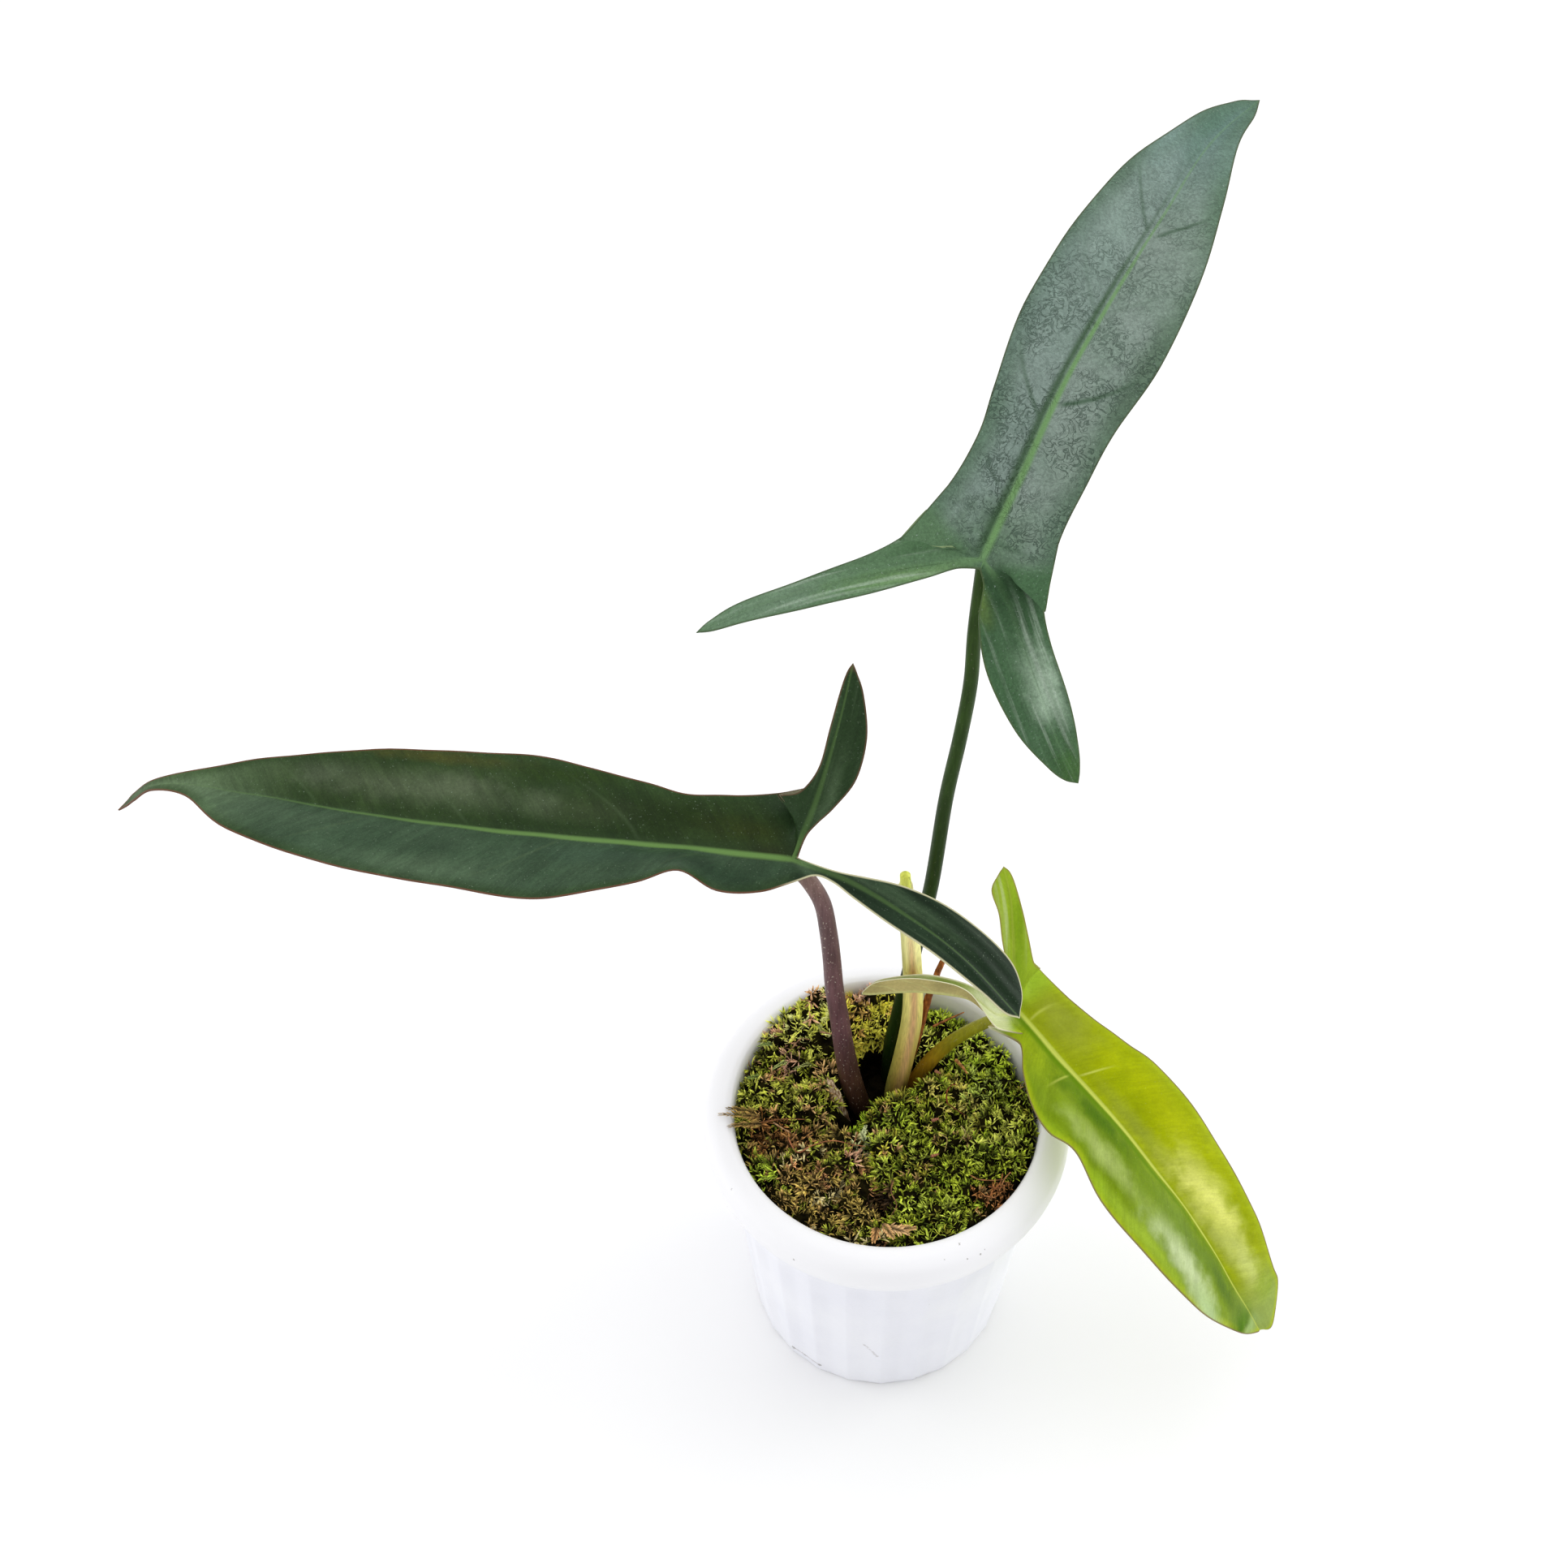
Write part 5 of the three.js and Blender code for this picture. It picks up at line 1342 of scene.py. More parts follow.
# Moss: the part's six cushions, finer and broken up into clumps, with shoots all over them
MOSS_HOLLOWS = [
    # x, y, radius
    (1, 26, 16.5),
    (-11, 12, 8),
]
MOSS = {
    # combed is how far a clump's shoots all lean one way, light how bright they are, steepest how far up the
    # surface has to face for shoots beside the wall. inward is how far those lean in, or out where it is below
    # 0. A full cushion fills the pot up to its rim.
    "moss_front_right": {"seed": (28, -14), "reach": 34, "height": 27, "slot": "green_moss", "combed": 0.55,
                         "light": 1.6, "steepest": 0.1, "full": True},
    "moss_front_left": {"seed": (-32, -28), "reach": 26, "height": 26, "slot": "brown_moss", "combed": 0.5,
                        "light": 1.8},
    "moss_left": {"seed": (-42, 14), "reach": 20, "height": 28, "slot": "green_moss", "combed": 0.8,
                  "light": 1.85, "steepest": -0.1, "inward": -0.006, "full": True},
    "moss_back_left": {"seed": (-36, 46), "reach": 18, "height": 34, "slot": "pale_moss", "combed": 0.6,
                       "light": 4.5, "steepest": -0.1, "inward": -0.008, "full": True},
    "moss_back": {"seed": (-6, 51), "reach": 14, "height": 29, "slot": "pale_moss", "combed": 0.3,
                  "light": 4.6, "steepest": -0.1, "inward": -0.004, "full": True},
    "moss_back_right": {"seed": (32, 46), "reach": 20, "height": 22, "slot": "green_moss", "combed": 0.3,
                        "light": 2.4},
}
MOSS_PROFILE = [
    # share of the way out, share of the height
    (1, 0), (1, 0.62), (0.96, 0.82), (0.87, 0.92), (0.68, 0.98), (0.42, 1), (0.18, 1), (0, 1),
]
LUMP_HEIGHT = 2
LUMP_SPACING = 24
FULL_PROFILE = [
    # the same where the moss fills the pot up to its rim
    (1, 0), (1, 0.8), (0.985, 0.92), (0.95, 0.99), (0.8, 1.01), (0.6, 1), (0.3, 1), (0, 1),
]
MOSS_SIDES = 150
MOSS_RINGS = 50
LAST_RING = 0.985                 # share of the way up the profile
MOSS_SINK = 1.4                   # the shoots stand on a surface this far below the part's
CLUMP_SPACING = 7.5
CREVICE_DEPTH = 3.4
CREVICE_WIDTH = 1.9
CLUMP_RISE = 1.2
CLUMP_TRIES = 3000
CLUMP_WANDER = 1.6                # how far the borders between clumps wander
ROUGHNESS = [(6, 0.5), (2.8, 0.4)]    # size and height of the uneven ground between the shoots
ROUGH_FROM = (6, 14)              # heights over the cushion's foot between which it sets in
TUFT_SPACING = 2.35
SHOOTS_BOTTOM = SOIL_TOP + 10     # no shoots grow below this
OVERHANG = -0.1                   # nor where the surface's normal points further down
MOSS_EDGE = 130                   # about the height at which the moss meets the pot's wall
WALL_ROOM = 2.2                   # from that wall, where the surface is steeper than its cushion allows
NEAR_WALL = 55                    # radius beyond which the shoots lean inwards, or outwards over the rim
MOST_CLUMPS = 400                 # more than there are, so that each has its own random numbers
LEAFLETS = 10
LEAFLET_TURN = 2.4                # radians from each leaflet to the next
LEAFLET_RISE = (18, 76)           # degrees, of the lowest and of the highest leaflet
LEAFLET_LENGTH = 4.2
LEAFLET_WIDTH = 0.78
SHOOT_HEIGHT = 1.6
SHOOT_ROOT = 0.4
FROND_LEAFLETS = 34
STANDING = [
    # path of what stands in the moss, how far the shoots keep from it
    (TALL_STALK["points"][:4], 5.5), (LEFT_STALK["points"][:4], 7), (LIME_STALK["points"][:4], 5.5),
    (SPIKE_PATH[:3], 6.5),
]
STANDING_STEPS = 80
BRIGHT_GREEN, GREY_GREEN = (150, 168, 52), (154, 160, 92)
TAN, PINK_BROWN = (176, 144, 94), (166, 132, 106)
MOSS_PALETTES = {
    # share of the shoots, colour
    "moss_front_right": [(0.4, (132, 142, 42)), (0.24, (98, 112, 30)), (0.22, (160, 172, 66)),
                         (0.09, (140, 136, 48)), (0.05, TAN)],
    "moss_front_left": [(0.36, (140, 122, 62)), (0.24, (112, 92, 52)), (0.22, (118, 124, 42)),
                        (0.1, (134, 98, 64)), (0.08, (206, 192, 138))],
    "moss_left": [(0.4, (146, 150, 56)), (0.22, (164, 166, 76)), (0.22, (104, 110, 32)), (0.16, TAN)],
    "moss_back_left": [(0.34, (158, 160, 72)), (0.26, (170, 172, 112)), (0.2, PINK_BROWN),
                       (0.2, (110, 114, 40))],
    "moss_back": [(0.6, (190, 186, 74)), (0.22, (160, 150, 58)), (0.18, (116, 94, 50))],
    "moss_back_right": [(0.5, (160, 174, 58)), (0.28, (180, 186, 92)), (0.22, (112, 128, 36))],
}
MOSS_ZONES = [
    # x, y, radius, colour, share of the shoots there: spots that differ from the rest of their cushion
    (-47, -8, 11, (104, 72, 38), 0.85),
    (-36, -12, 6, (124, 92, 54), 0.8),
    (-50, -26, 6, BRIGHT_GREEN, 0.95),
    (-14, -20, 4.5, PINK_BROWN, 0.7),
    (-9.5, -13, 4.5, (160, 166, 118), 0.9),
    (45, -6, 15, (200, 204, 96), 0.65),
    (26, 6, 14, (210, 200, 104), 0.55),
    (-12, -3, 6, (128, 150, 36), 0.9),
    (-38, 27, 5, (186, 148, 122), 0.85),
    (-46, 19, 5, (150, 116, 78), 0.85),
    (-30, 55, 4, (150, 120, 84), 0.85),
    (-8, 58, 5, (150, 122, 100), 0.8),
    (17, 36, 6, (196, 200, 96), 0.7),
    (40, 13, 9, (172, 186, 90), 0.6),
    (42, -36, 8, (128, 88, 50), 0.85),
    (3, -50, 7, (150, 160, 48), 0.8),
    (-3, -38, 6.5, (60, 44, 26), 0.9),
]
CLEFTS = [
    # x, y, radius, depth: holes between the cushions, bare where they are deepest
    (-3, -41, 5.5, 9), (-24, 31, 6, 4), (-33, 38, 4, 3), (48, 9, 5, 3), (-16, 1.5, 10, 13), (-41, 20, 4.5, 7),
    (-32, 16, 5, 6), (30, 2, 3.5, 4),
]
BARE_CLEFT = 3.5                  # no shoots grow where a cleft is deeper than this
CLEFT_FLOOR = 0.3                 # share of a cleft's radius within which it is full deep


def cleft_depth(places):
    """How deep the clefts are at each place."""
    total = np.zeros(len(places))
    for cx, cy, radius, depth in CLEFTS:
        away = np.hypot(places[:, 0] - cx, places[:, 1] - cy)
        total += depth * step_up(away, radius, radius * CLEFT_FLOOR)
    return total


def moss_reach(cushion, angle, height):
    """How far a cushion reaches from its seed before the pot, a neighbour or a hollow, at many angles."""
    x, y = cushion["seed"]
    dx, dy = np.cos(angle), np.sin(angle)
    ahead = x * dx + y * dy
    wall = inner_radius(height) - 2 * CLEARANCE
    reach = -ahead + np.sqrt(ahead ** 2 + wall ** 2 - x ** 2 - y ** 2)
    for other in MOSS.values():
        if other is not cushion:
            ox, oy = other["seed"][0] - x, other["seed"][1] - y
            apart = math.hypot(ox, oy)
            to_edge = (apart ** 2 + cushion["reach"] ** 2 - other["reach"] ** 2) / (2 * apart) - CLEARANCE
            towards = (ox * dx + oy * dy) / apart
            reach = np.where(towards > 0, np.minimum(reach, to_edge / np.maximum(towards, 1e-6)), reach)
    for hx, hy, radius in MOSS_HOLLOWS:
        ox, oy = hx - x, hy - y
        nearest = ox * dx + oy * dy
        inside = radius ** 2 - (ox ** 2 + oy ** 2 - nearest ** 2)
        hit = (nearest > 0) & (inside > 0)
        reach = np.where(hit, np.minimum(reach, nearest - np.sqrt(np.maximum(inside, 0))), reach)
    return reach


def moss_lumps(x, y):
    """The moss's humps: one broad pattern of waves that cross, and a finer one over it."""
    wave = 2 * math.pi / LUMP_SPACING
    broad = np.sin(wave * (x + 0.4 * y)) * np.cos(wave * (0.9 * y - 0.3 * x))
    fine = np.sin(1.7 * wave * (y - 0.6 * x) + 1)
    return LUMP_HEIGHT * (broad + 0.5 * fine)


def clump_middles():
    """Seeded middles of the moss's clumps, spread over the pot's mouth, and each one's own height."""
    rng = np.random.default_rng(SEED + 5)
    found = []
    for place in rng.uniform(-MOUTH_RADIUS, MOUTH_RADIUS, (CLUMP_TRIES, 2)):
        if all(math.hypot(*(place - other)) > CLUMP_SPACING for other in found):
            found.append(place)
    return np.array(found), rng.uniform(-1, 1, len(found))


def clump_of(points, clumps):
    """The clump that each point belongs to, and how far the point is from the next clump."""
    flat = points[:, :2]
    places = flat + np.stack([waves(flat, 9, 3), waves(flat, 9, 4)], axis=1) * CLUMP_WANDER
    apart = np.linalg.norm(places[:, None] - clumps[None], axis=2)
    order = np.argsort(apart, axis=1)[:, :2]
    nearest, second = np.take_along_axis(apart, order, axis=1).T
    return order[:, 0], (second - nearest) / 2


def cushion_surface(cushion, seed, clumps, clump_rise):
    """A closed, finely humped cushion, with crevices between its clumps: points and faces."""
    x, y = cushion["seed"]
    foot = SOIL_TOP + CLEARANCE
    profile = np.array(FULL_PROFILE if cushion.get("full") else MOSS_PROFILE)
    gone = np.concatenate([[0], np.cumsum(np.hypot(*np.diff(profile, axis=0).T))])
    wanted = np.linspace(0, gone[-1] * LAST_RING, MOSS_RINGS)
    outs, ups = (np.interp(wanted, gone, profile[:, axis]) for axis in range(2))
    angle = circle(MOSS_SIDES)
    rings = []
    for out, up in zip(outs, ups):
        reach = out * (moss_reach(cushion, angle, foot + up * cushion["height"]) - MOSS_SINK * up)
        px, py = x + reach * np.cos(angle), y + reach * np.sin(angle)
        top = foot + up * (cushion["height"] + moss_lumps(px, py)) - MOSS_SINK * up
        rings.append(np.stack([px, py, top], axis=1))
    points = np.concatenate(rings + [[[x, y, foot], [x, y, rings[-1][:, 2].mean()]]])
    clump, gap = clump_of(points, clumps)
    drop = CREVICE_DEPTH * step_up(gap, CREVICE_WIDTH, 0) - CLUMP_RISE * clump_rise[clump]
    drop += cleft_depth(points)
    rough = sum(rise * waves(points, size, seed + k, 8) for k, (size, rise) in enumerate(ROUGHNESS))
    points[:, 2] += (rough - drop) * step_up(points[:, 2] - foot, *ROUGH_FROM)
    return points, ring_faces(MOSS_RINGS, MOSS_SIDES)


def scatter(points, faces, spacing, rng):
    """Places spread evenly over a surface, none nearer to another than spacing, with their normals."""
    a, b, c = points[np.array(triangles_of(faces)).T]
    cross = np.cross(b - a, c - a)
    area = np.linalg.norm(cross, axis=1) / 2
    tries = int(5 * area.sum() / spacing ** 2)
    chosen = rng.choice(len(area), tries, p=area / area.sum())
    u, v = rng.random((2, tries))
    over = u + v > 1
    u, v = np.where(over, 1 - u, u), np.where(over, 1 - v, v)
    found = a[chosen] + (b - a)[chosen] * u[:, None] + (c - a)[chosen] * v[:, None]
    cells, kept = {}, []
    around = [(i, j, k) for i in (-1, 0, 1) for j in (-1, 0, 1) for k in (-1, 0, 1)]
    for index, place in enumerate(found):
        cell = tuple((place // spacing).astype(int))
        keys = ((cell[0] + i, cell[1] + j, cell[2] + k) for i, j, k in around)
        near = (found[other] for key in keys for other in cells.get(key, ()))
        if all(((place - other) ** 2).sum() > spacing ** 2 for other in near):
            cells.setdefault(cell, []).append(index)
            kept.append(index)
    return found[kept], unit(cross[chosen[kept]])


# A leaflet's three joints as shares of its length, how thick its ridge is and how far it has narrowed at the
# second joint; its triangles over its foot, two rings of three points and its tip; each point's brightness,
# painted shade at the foot and painted light towards the tip
JOINTS = (0.38, 0.36, 0.28)
RIDGE, NARROWED = 0.28, 0.72
SPINDLE = np.array([
    [1, 3, 0], [2, 1, 0], [3, 2, 0],
    [3, 1, 4], [3, 4, 6], [1, 2, 5], [1, 5, 4], [2, 3, 6], [2, 6, 5],
    [6, 4, 7], [4, 5, 7], [5, 6, 7],
])
SPINDLE_SHADES = np.array([0.06, 0.42, 0.42, 0.5, 1.3, 1.3, 1.5, 3.2])


def spindles(start, out, up, curl, length, width, tint):
    """Leaflets: closed pointed spindles, bent upwards by curl twice. Gives points, triangles and colours."""
    out = unit(out)
    up = unit(up - out * np.sum(up * out, axis=1, keepdims=True))
    curl, length, width = curl[:, None], length[:, None], width[:, None]
    joints = [start]
    for bend, share in enumerate(JOINTS):
        joints.append(joints[-1] + (out * np.cos(bend * curl) + up * np.sin(bend * curl)) * length * share)
    half, ridge = np.cross(out, up) * width / 2, up * width * RIDGE
    rings = [middle + size * turn for middle, size in zip(joints[1:3], (1, NARROWED))
             for turn in (half, -half, ridge)]
    corners = np.stack([start, *rings, joints[-1]], axis=1)
    faces = (np.arange(len(start))[:, None, None] * len(SPINDLE_SHADES) + SPINDLE[None]).reshape(-1, 3)
    colour = tint[:, None, :3] * SPINDLE_SHADES[None, :, None]
    colour = colour / np.maximum(colour.max(axis=-1, keepdims=True), 1)
    colour = np.concatenate([colour, np.ones(colour.shape[:2] + (1,))], axis=-1)
    return corners.reshape(-1, 3), faces, colour.reshape(-1, 4)


def tufts(places, axes, tint, rng):
    """Star-shaped shoots: at each place a short axis with leaflets all round it."""
    shoots = len(places)
    level = np.linspace(0, 1, LEAFLETS)[None] + rng.normal(0, 0.07, (shoots, LEAFLETS))
    level = np.clip(level, 0, 1).reshape(-1)
    owner = np.repeat(np.arange(shoots), LEAFLETS)
    size = rng.uniform(0.7, 1.3, shoots)[owner]
    axis = axes[owner]
    first = unit(np.cross(axis, unit(rng.normal(size=(shoots, 3)))[owner]))
    second = np.cross(axis, first)
    turn = np.tile(LEAFLET_TURN * np.arange(LEAFLETS), shoots) + rng.uniform(0, 6.3, shoots)[owner]
    turn = turn + rng.normal(0, 0.3, len(owner))
    radial = first * np.cos(turn)[:, None] + second * np.sin(turn)[:, None]
    low, high = LEAFLET_RISE
    rise = np.radians(low + (high - low) * level + rng.normal(0, 15, len(owner)))[:, None]
    start = places[owner] + axis * (SHOOT_HEIGHT * size * level)[:, None] - axis * SHOOT_ROOT
    length = LEAFLET_LENGTH * size * (1 - 0.3 * level) * rng.uniform(0.7, 1.25, len(owner))
    width = LEAFLET_WIDTH * size * rng.uniform(0.75, 1.2, len(owner))
    own = tint[owner] * (rng.uniform(0.15, 1.85, len(owner)) * (0.7 + 0.5 * level))[:, None]
    curl = rng.normal(0.05, 0.3, len(owner))
    out = radial * np.cos(rise) + axis * np.sin(rise)
    return spindles(start, out, axis, curl, length, width, own)


def frond(foot, heading, length, colour, rng, leaf_length, rise=0.35, bend=0.9):
    """A feather-like shoot: leaflets on both sides of a curved stem, shorter towards its tip. It sets out
    upwards at the angle rise, and bends down by bend."""
    share = np.repeat(np.linspace(0.03, 1, FROND_LEAFLETS // 2), 2)
    hand = np.tile([1.0, -1.0], FROND_LEAFLETS // 2)
    flat = np.array([math.cos(heading), math.sin(heading), 0])
    across = np.array([-flat[1], flat[0], 0])
    slope = rise - bend * share
    along_stem = flat * np.cos(slope)[:, None] + np.array([0, 0, 1.0]) * np.sin(slope)[:, None]
    place = np.asarray(foot) + np.cumsum(along_stem, axis=0) * (length / len(share))
    lean = 0.55 - 0.2 * share + rng.normal(0, 0.12, len(share))
    out = along_stem * np.cos(lean)[:, None] + across * (hand * np.sin(lean))[:, None]
    up = np.tile([0, 0, 1.0], (len(share), 1)) + rng.normal(0, 0.15, (len(share), 3))
    size = leaf_length * (1 - 0.6 * share ** 2) * rng.uniform(0.85, 1.15, len(share))
    own = np.array(colour)[None] * rng.uniform(0.7, 1.2, len(share))[:, None]
    return spindles(place, out, up, rng.normal(0, 0.2, len(share)), size, 0.22 * size, own)


FRONDS = [
    # foot x, y, z, heading in degrees, length, colour: the feathery shoots that stand out in the photograph
    (-30, 22, 138.5, 200, 8, GREY_GREEN), (-40, 24, 138, 215, 8, (160, 172, 100)),
    (-22, 12, 136.5, 150, 7, (168, 178, 92)), (-25, 34, 142, 120, 7, GREY_GREEN),
    (-46, 30, 141, 190, 7, (134, 152, 82)), (-51, 17, 136, 185, 6, (120, 140, 70)),
    (-10, -12, 136.5, 75, 6, (190, 196, 146)), (-9, -14, 136.5, 110, 5, (180, 188, 134)),
    (-46, -25, 132.5, 160, 7, BRIGHT_GREEN), (-44, -28, 132.5, 190, 7, (164, 184, 70)),
    (-40, -30, 132.5, 240, 6, BRIGHT_GREEN),
]
EDGE_FRONDS = [
    # the same, dry, where it hangs over the pot's rim
    (-50, -5.5, 141, 176, 18, (150, 122, 64)), (-52, -3.5, 140.5, 168, 13, (132, 108, 52)),
    (-50, -8, 140.5, 186, 14, (144, 116, 62)),
    (-3.4, -51.5, 137, 305, 8, (196, 156, 104)), (-1, -53.5, 137, 340, 9, (206, 168, 118)),
    (-5, -53, 137, 260, 7, (178, 134, 84)), (2, -55, 136.5, 10, 8, (188, 150, 100)),
]
FROND_PIECES = [
    # name, slot, fronds, length of a leaflet, angle at which they set out, how far they bend down
    ("moss_fronds", "green_moss", FRONDS, 2.1, 0.5, 0.85),
    ("dry_sprigs", "brown_moss", EDGE_FRONDS, 3.6, 0.3, 0.5),
]
WILD_FRONDS = 8                   # smaller ones, drawn at random on each cushion of the left half
WILD_FRONDS_LEFT_OF = -20         # x of a cushion's middle
WILD_LIFT = 1.2                   # how far their feet stand above the ground
WILD_LIGHT = 1.2
WILD_LEAFLET = 1.8


def moss_tints(name, places, clump, rng):
    """One colour a shoot, drawn from the cushion's palette by clump, and from the zones, with painted light
    and shade that differ from clump to clump.
    """
    shares, colours = zip(*MOSS_PALETTES[name])
    by_clump = np.random.default_rng(SEED + len(name)).random(MOST_CLUMPS)[clump]
    draw = 0.5 * by_clump + 0.5 * rng.random(len(places))
    order = np.argsort(np.argsort(draw)) / len(draw)
    chosen = np.minimum(np.searchsorted(np.cumsum(shares), order), len(shares) - 1)
    tint = np.array([linear(colour) for colour in colours])[chosen]
    for x, y, radius, colour, share in MOSS_ZONES:
        away = np.hypot(places[:, 0] - x, places[:, 1] - y) / radius
        inside = rng.random(len(places)) < share * step_up(away, 1.15, 0.6)
        tint = np.where(inside[:, None], np.array(linear(colour)), tint)
    # Painted light and shade for the mounds, one brightness a clump.
    painted_mound_light = np.random.default_rng(SEED + 6).uniform(0.7, 1.35, MOST_CLUMPS)[clump]
    return tint * rng.uniform(0.35, 1.75, (len(places), 1)) * painted_mound_light[:, None] * MOSS[name]["light"]


def open_to_shoots(places, normals, steepest):
    """Where shoots grow: on top, outside clefts, clear of what stands in the moss and of the wall."""
    keep = (places[:, 2] > SHOOTS_BOTTOM) & (normals[:, 2] > OVERHANG) & (cleft_depth(places) < BARE_CLEFT)
    for path, room in STANDING:
        fine, _ = evenly(path, STANDING_STEPS)
        keep &= np.linalg.norm(places[:, None] - fine[None], axis=2).min(axis=1) > room
    at_wall = np.hypot(places[:, 0], places[:, 1]) > inner_radius(MOSS_EDGE) - WALL_ROOM
    return keep & ~(at_wall & (normals[:, 2] < steepest))


def shoot_axes(cushion, places, normals, clump, clumps, rng):
    """The way each shoot points: up and outwards, combed with its clump, and leaning by the pot's wall."""
    fan = places - np.concatenate([clumps[clump], places[:, 2:]], axis=1)
    near_wall = (np.hypot(places[:, 0], places[:, 1]) > NEAR_WALL)[:, None]
    inward = np.where(near_wall, -places * [1, 1, 0] * cushion.get("inward", 0.009), 0)
    heading = np.random.default_rng(SEED + 7).uniform(0, 2 * math.pi, len(clumps))[clump]
    combed = cushion["combed"] * np.stack([np.cos(heading), np.sin(heading), 0 * heading], axis=1)
    return unit(0.5 * normals + [0, 0, 0.5] + 0.1 * fan + inward + combed + rng.normal(0, 0.16, places.shape))


def join(sets):
    """Several sets of points, triangles and colours as one."""
    points, faces, colours, start = [], [], [], 0
    for found, triangles, tint in sets:
        points.append(found)
        faces.append(np.asarray(triangles) + start)
        colours.append(tint)
        start += len(found)
    return np.concatenate(points), np.concatenate(faces).tolist(), np.concatenate(colours)


def add_moss():
    shoots = tinted_material("moss_shoots", 0.12, 1.1, 0.85)
    # The near-black ground under the shoots is painted shade between them.
    base = clouded_material("moss_base_painted_shade", 0.95, 0.03, 4, 5, (0.35, 0.65), (14, 11, 5), (36, 32, 12), 0.9, 0.7)
    clumps, clump_rise = clump_middles()
    for number, (name, cushion) in enumerate(MOSS.items()):
        rng = np.random.default_rng(SEED + 10 * number)
        points, faces = cushion_surface(cushion, SEED + number, clumps, clump_rise)
        add_piece(name + "_base", points, faces, [base], [name], sharp=80)
        places, normals = scatter(points, faces, TUFT_SPACING, rng)
        keep = open_to_shoots(places, normals, cushion.get("steepest", 0.25))
        places, normals = places[keep], normals[keep]
        clump, _ = clump_of(places, clumps)
        axes = shoot_axes(cushion, places, normals, clump, clumps, rng)
        sets = [tufts(places, axes, moss_tints(name, places, clump, rng), rng)]
        if places[:, 0].mean() < WILD_FRONDS_LEFT_OF:
            for index in rng.choice(len(places), WILD_FRONDS, replace=False):
                tint = moss_tints(name, places[index:index + 1], clump[:1], rng)[0, :3] * WILD_LIGHT
                heading, length = rng.uniform(0, 6.3), rng.uniform(5, 8)
                foot = places[index] + [0, 0, WILD_LIFT]
                sets.append(frond(foot, heading, length, tint, rng, WILD_LEAFLET))
        points, faces, tint = join(sets)
        add_piece(name + "_shoots", points, faces, [shoots], [name], tint=tint, sharp=0)
    rng = np.random.default_rng(SEED + 99)
    for name, slot, rows, *habit in FROND_PIECES:
        sets = [frond((x, y, z), math.radians(heading), length, linear(colour)[:3], rng, *habit)
                for x, y, z, heading, length, colour in rows]
        points, faces, tint = join(sets)
        add_piece(name, points, faces, [shoots], tint=tint, sharp=0)


# Threads: roots, fibres and bits of twig on the moss
THREADS = [
    # radius, colour, points
    (0.32, (176, 112, 74), [(-40, -12, 135), (-38.5, -17, 137), (-35.9, -20.4, 137.5), (-30.6, -17.4, 138),
                            (-22.4, -15.1, 138), (-14.2, -16.6, 137.5), (-9, -16.6, 136)]),
    (0.3, (150, 100, 62), [(-12, -10, 136), (-14, -17, 137.5), (-17, -22, 136)]),
    (0.3, (140, 92, 56), [(-52, -6, 137), (-42, -5, 138), (-33, -4.5, 137)]),
    (0.35, (190, 150, 110), [(-46, -6, 137), (-42.5, -9.5, 138.5), (-39, -11.5, 138)]),
    (0.35, (136, 66, 40), [(25, 4, 135), (24.7, 8, 137.5), (27, 11, 138.5), (29.5, 11.5, 137.5)]),
    (0.3, (120, 70, 42), [(25, 4, 135.5), (28, 0.5, 137), (32, -2, 136)]),
    (0.55, (168, 104, 60), [(20.6, 44.5, 131), (27.4, 47, 133), (33.5, 49.6, 134)]),
    (0.75, (196, 134, 78), [(29, 24, 137), (31.5, 20.5, 137.5), (33.5, 17.5, 137)]),
    (0.7, (186, 128, 96), [(20.5, 19, 136.5), (22.5, 17.5, 137)]),
    (0.8, (186, 122, 98), [(18.5, -5, 137), (21, -4.4, 137.4)]),
    (0.7, (178, 116, 88), [(17.5, -21.5, 136.5), (20.5, -20.8, 137)]),
    (0.28, (176, 122, 74), [(33, -30, 136), (36, -33, 138), (41, -33.5, 138), (45.8, -33.2, 138)]),
    (0.3, (158, 98, 56), [(45.8, -30, 137), (44.5, -35, 138.5), (41, -39, 137.5), (38.8, -44.3, 135.5)]),
    (0.28, (190, 134, 88), [(49, -29, 136.5), (46.5, -33, 138.5), (44, -38, 137.5)]),
    (0.32, (142, 88, 50), [(40, -36, 137.5), (44, -37, 138), (47, -35, 137)]),
    (0.3, (166, 112, 70), [(38, -40, 137), (42, -41, 137.5), (44, -39, 137)]),
    (0.3, (160, 120, 84), [(-38.8, 25.3, 143), (-35, 29, 145), (-30.4, 29.3, 144)]),
    (0.4, (176, 136, 100), [(-27, 33.3, 144), (-22, 32, 144.5), (-17.5, 34, 143)]),
    (0.3, (140, 100, 66), [(2, -33, 137), (1, -38, 136.5), (3, -44, 136.5), (0, -50, 136.5)]),
    (0.28, (172, 152, 88), [(22, -12, 137.5), (24, -15, 139), (23, -20, 138)]),
    (0.26, (186, 170, 112), [(30, -8, 137.5), (31.5, -12, 139), (29, -16, 138)]),
]
THREAD_LIFT = 1.4                 # how far the threads lie above those points, on the shoots' tips
THREAD_TAPER = np.array([1, 0.8, 0.45])
THREAD_STEPS = 26
THREAD_SIDES = 7


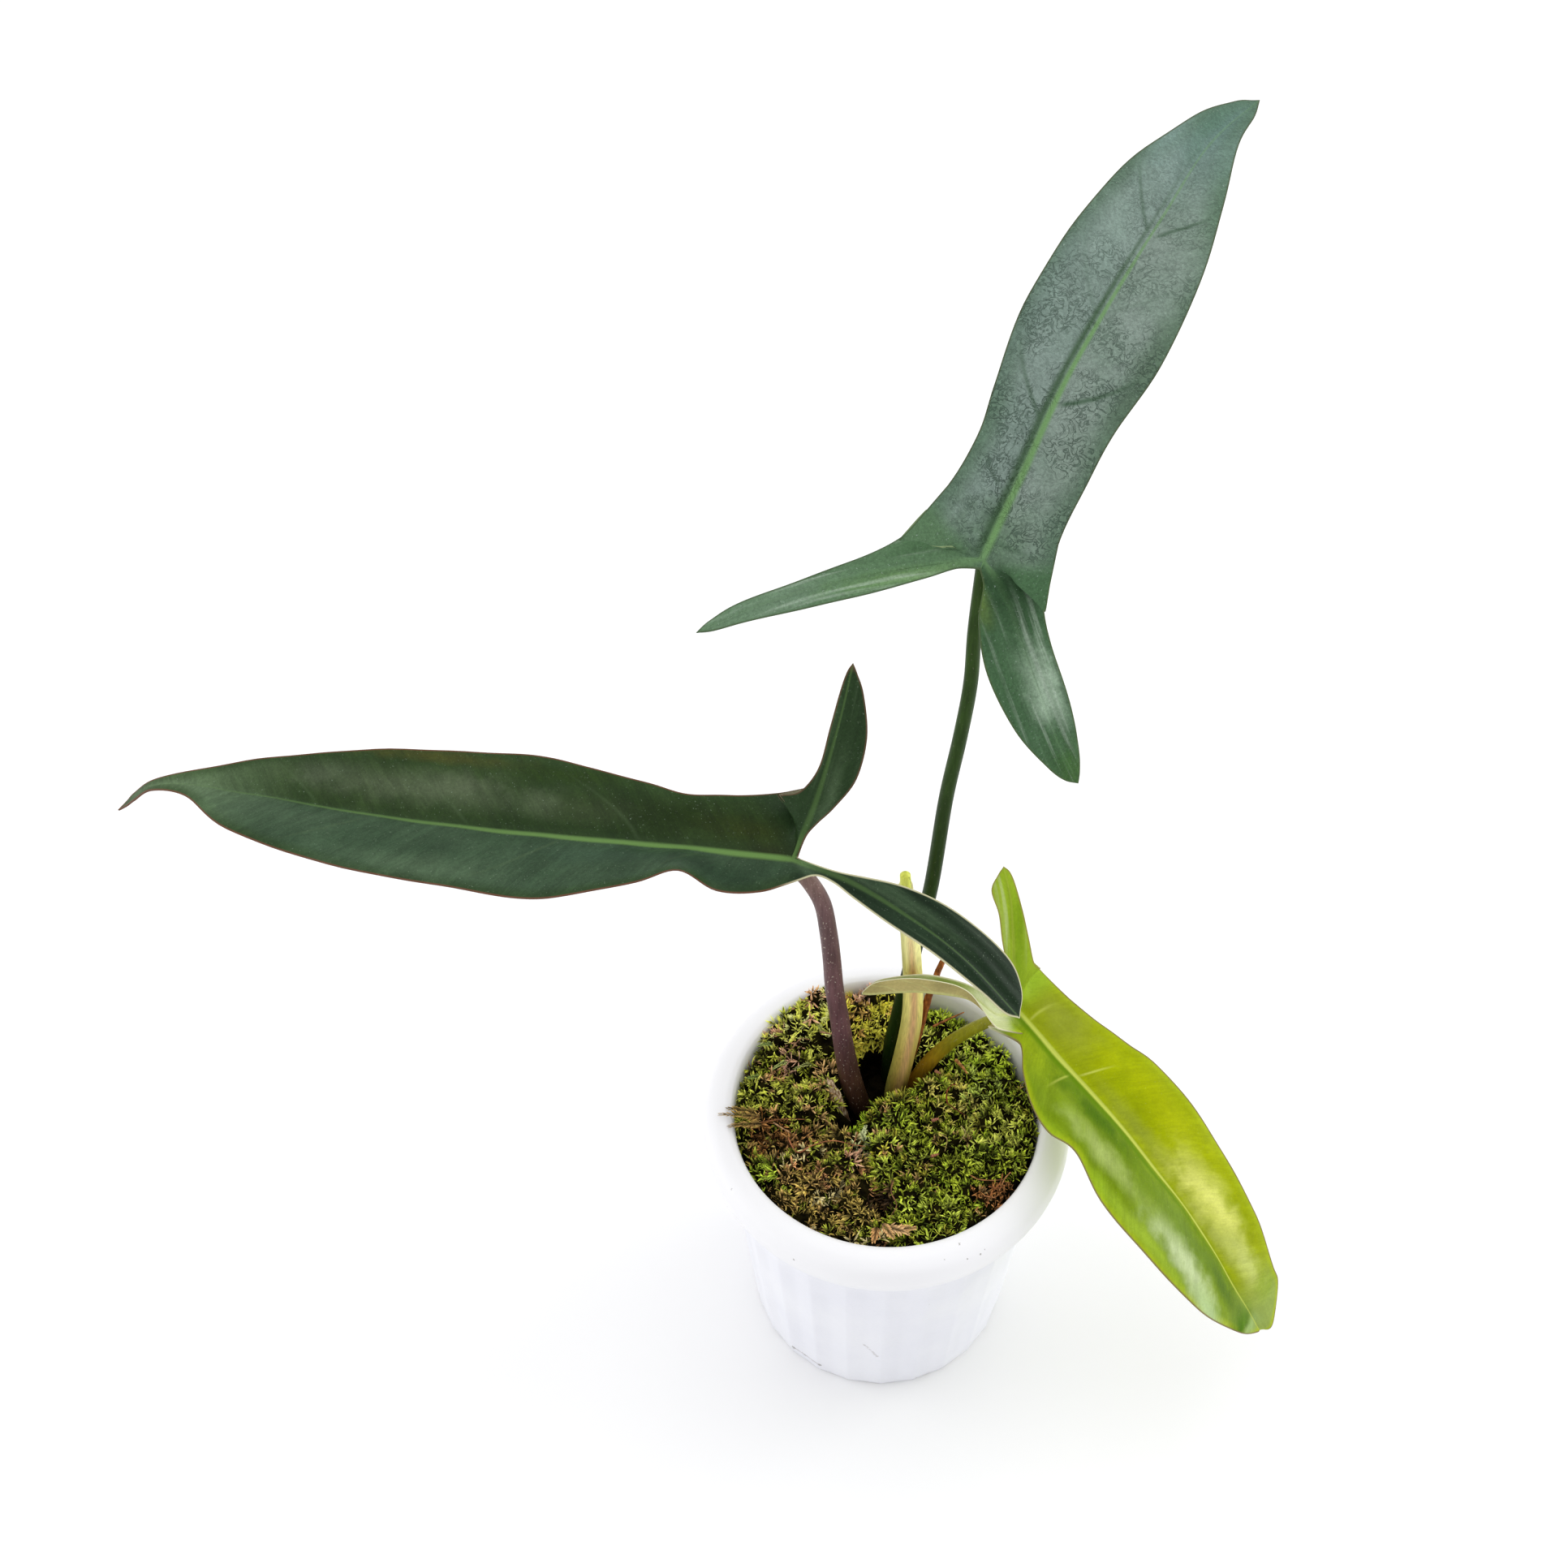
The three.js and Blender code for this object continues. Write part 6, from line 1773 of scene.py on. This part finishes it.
def add_threads():
    sets = []
    for radius, colour, path in THREADS:
        points, faces, values = tube(path, radius * THREAD_TAPER, THREAD_STEPS, THREAD_SIDES)
        light = 0.8 + 0.3 * np.sin(values["share"] * 21 + len(sets))[:, None]
        tint = np.concatenate([np.array(linear(colour))[None, :3] * light, np.ones((len(points), 1))], axis=1)
        sets.append((points + [0, 0, THREAD_LIFT], triangles_of(faces), tint))
    points, faces, tint = join(sets)
    add_piece("moss_threads", points, faces, [tinted_material("fibres", 0.15, 0.6, 0.75)],
              tint=tint, sharp=60)


# Soil and stem keep the part's shapes
def dress_soil_and_stem():
    mix = clouded_material("potting_mix", 0.95, 0.02, 2.5, 6, (0.4, 0.65), (10, 8, 5), (34, 25, 16), 1.2, 1.2)
    bark = clouded_material("stem_bark", 0.9, 0.02, 3, 5, (0.35, 0.65), (10, 8, 4), (26, 21, 11), 1.5, 0.5)
    for node, material in (("soil", mix), ("stem", bark)):
        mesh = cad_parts[node].data
        mesh.materials.clear()
        mesh.materials.append(material)


add_camera()
add_lights()
add_floor()
add_pot()
LEAVES = [
    # name, blade, look, paint, underside, that of its second lobe, its veins, stalk, slot
    ("tall", TALL_BLADE, TALL_LOOK, TALL_PAINT, (120, 140, 100), (120, 140, 100), (150, 165, 120),
     TALL_STALK, "grey_green_leaf"),
    ("left", LEFT_BLADE, LEFT_LOOK, LEFT_PAINT, (104, 100, 78), (104, 100, 78), (150, 132, 116),
     LEFT_STALK, "dark_leaf"),
    ("lime", LIME_BLADE, LIME_LOOK, LIME_PAINT, (166, 182, 82), (178, 166, 108), (200, 198, 130),
     LIME_STALK, "lime_leaf"),
]
for name, blade, look, paint, under, under_lobe, under_vein, _, slot in LEAVES:
    top = leaf_material(name + "_leaf_top", paint, look, blade["ribs"]["midrib"].length)
    below = underside_material(name + "_leaf_under", under, under_lobe, under_vein)
    add_blade(name + "_blade", blade, look, [top, below], name + "_leaf")
for name, *_, stalk, slot in LEAVES:
    add_stalk(name + "_stalk", stalk, name + "_leaf")
add_new_leaf()
add_sheath()
add_strip("fine_old_sheath", OLD_SHEATH, "old_leaf_sheath")
add_strip("fine_dry_scrap", DRY_SCRAP, "dry_sheath_scrap")
add_moss()
add_threads()
dress_soil_and_stem()
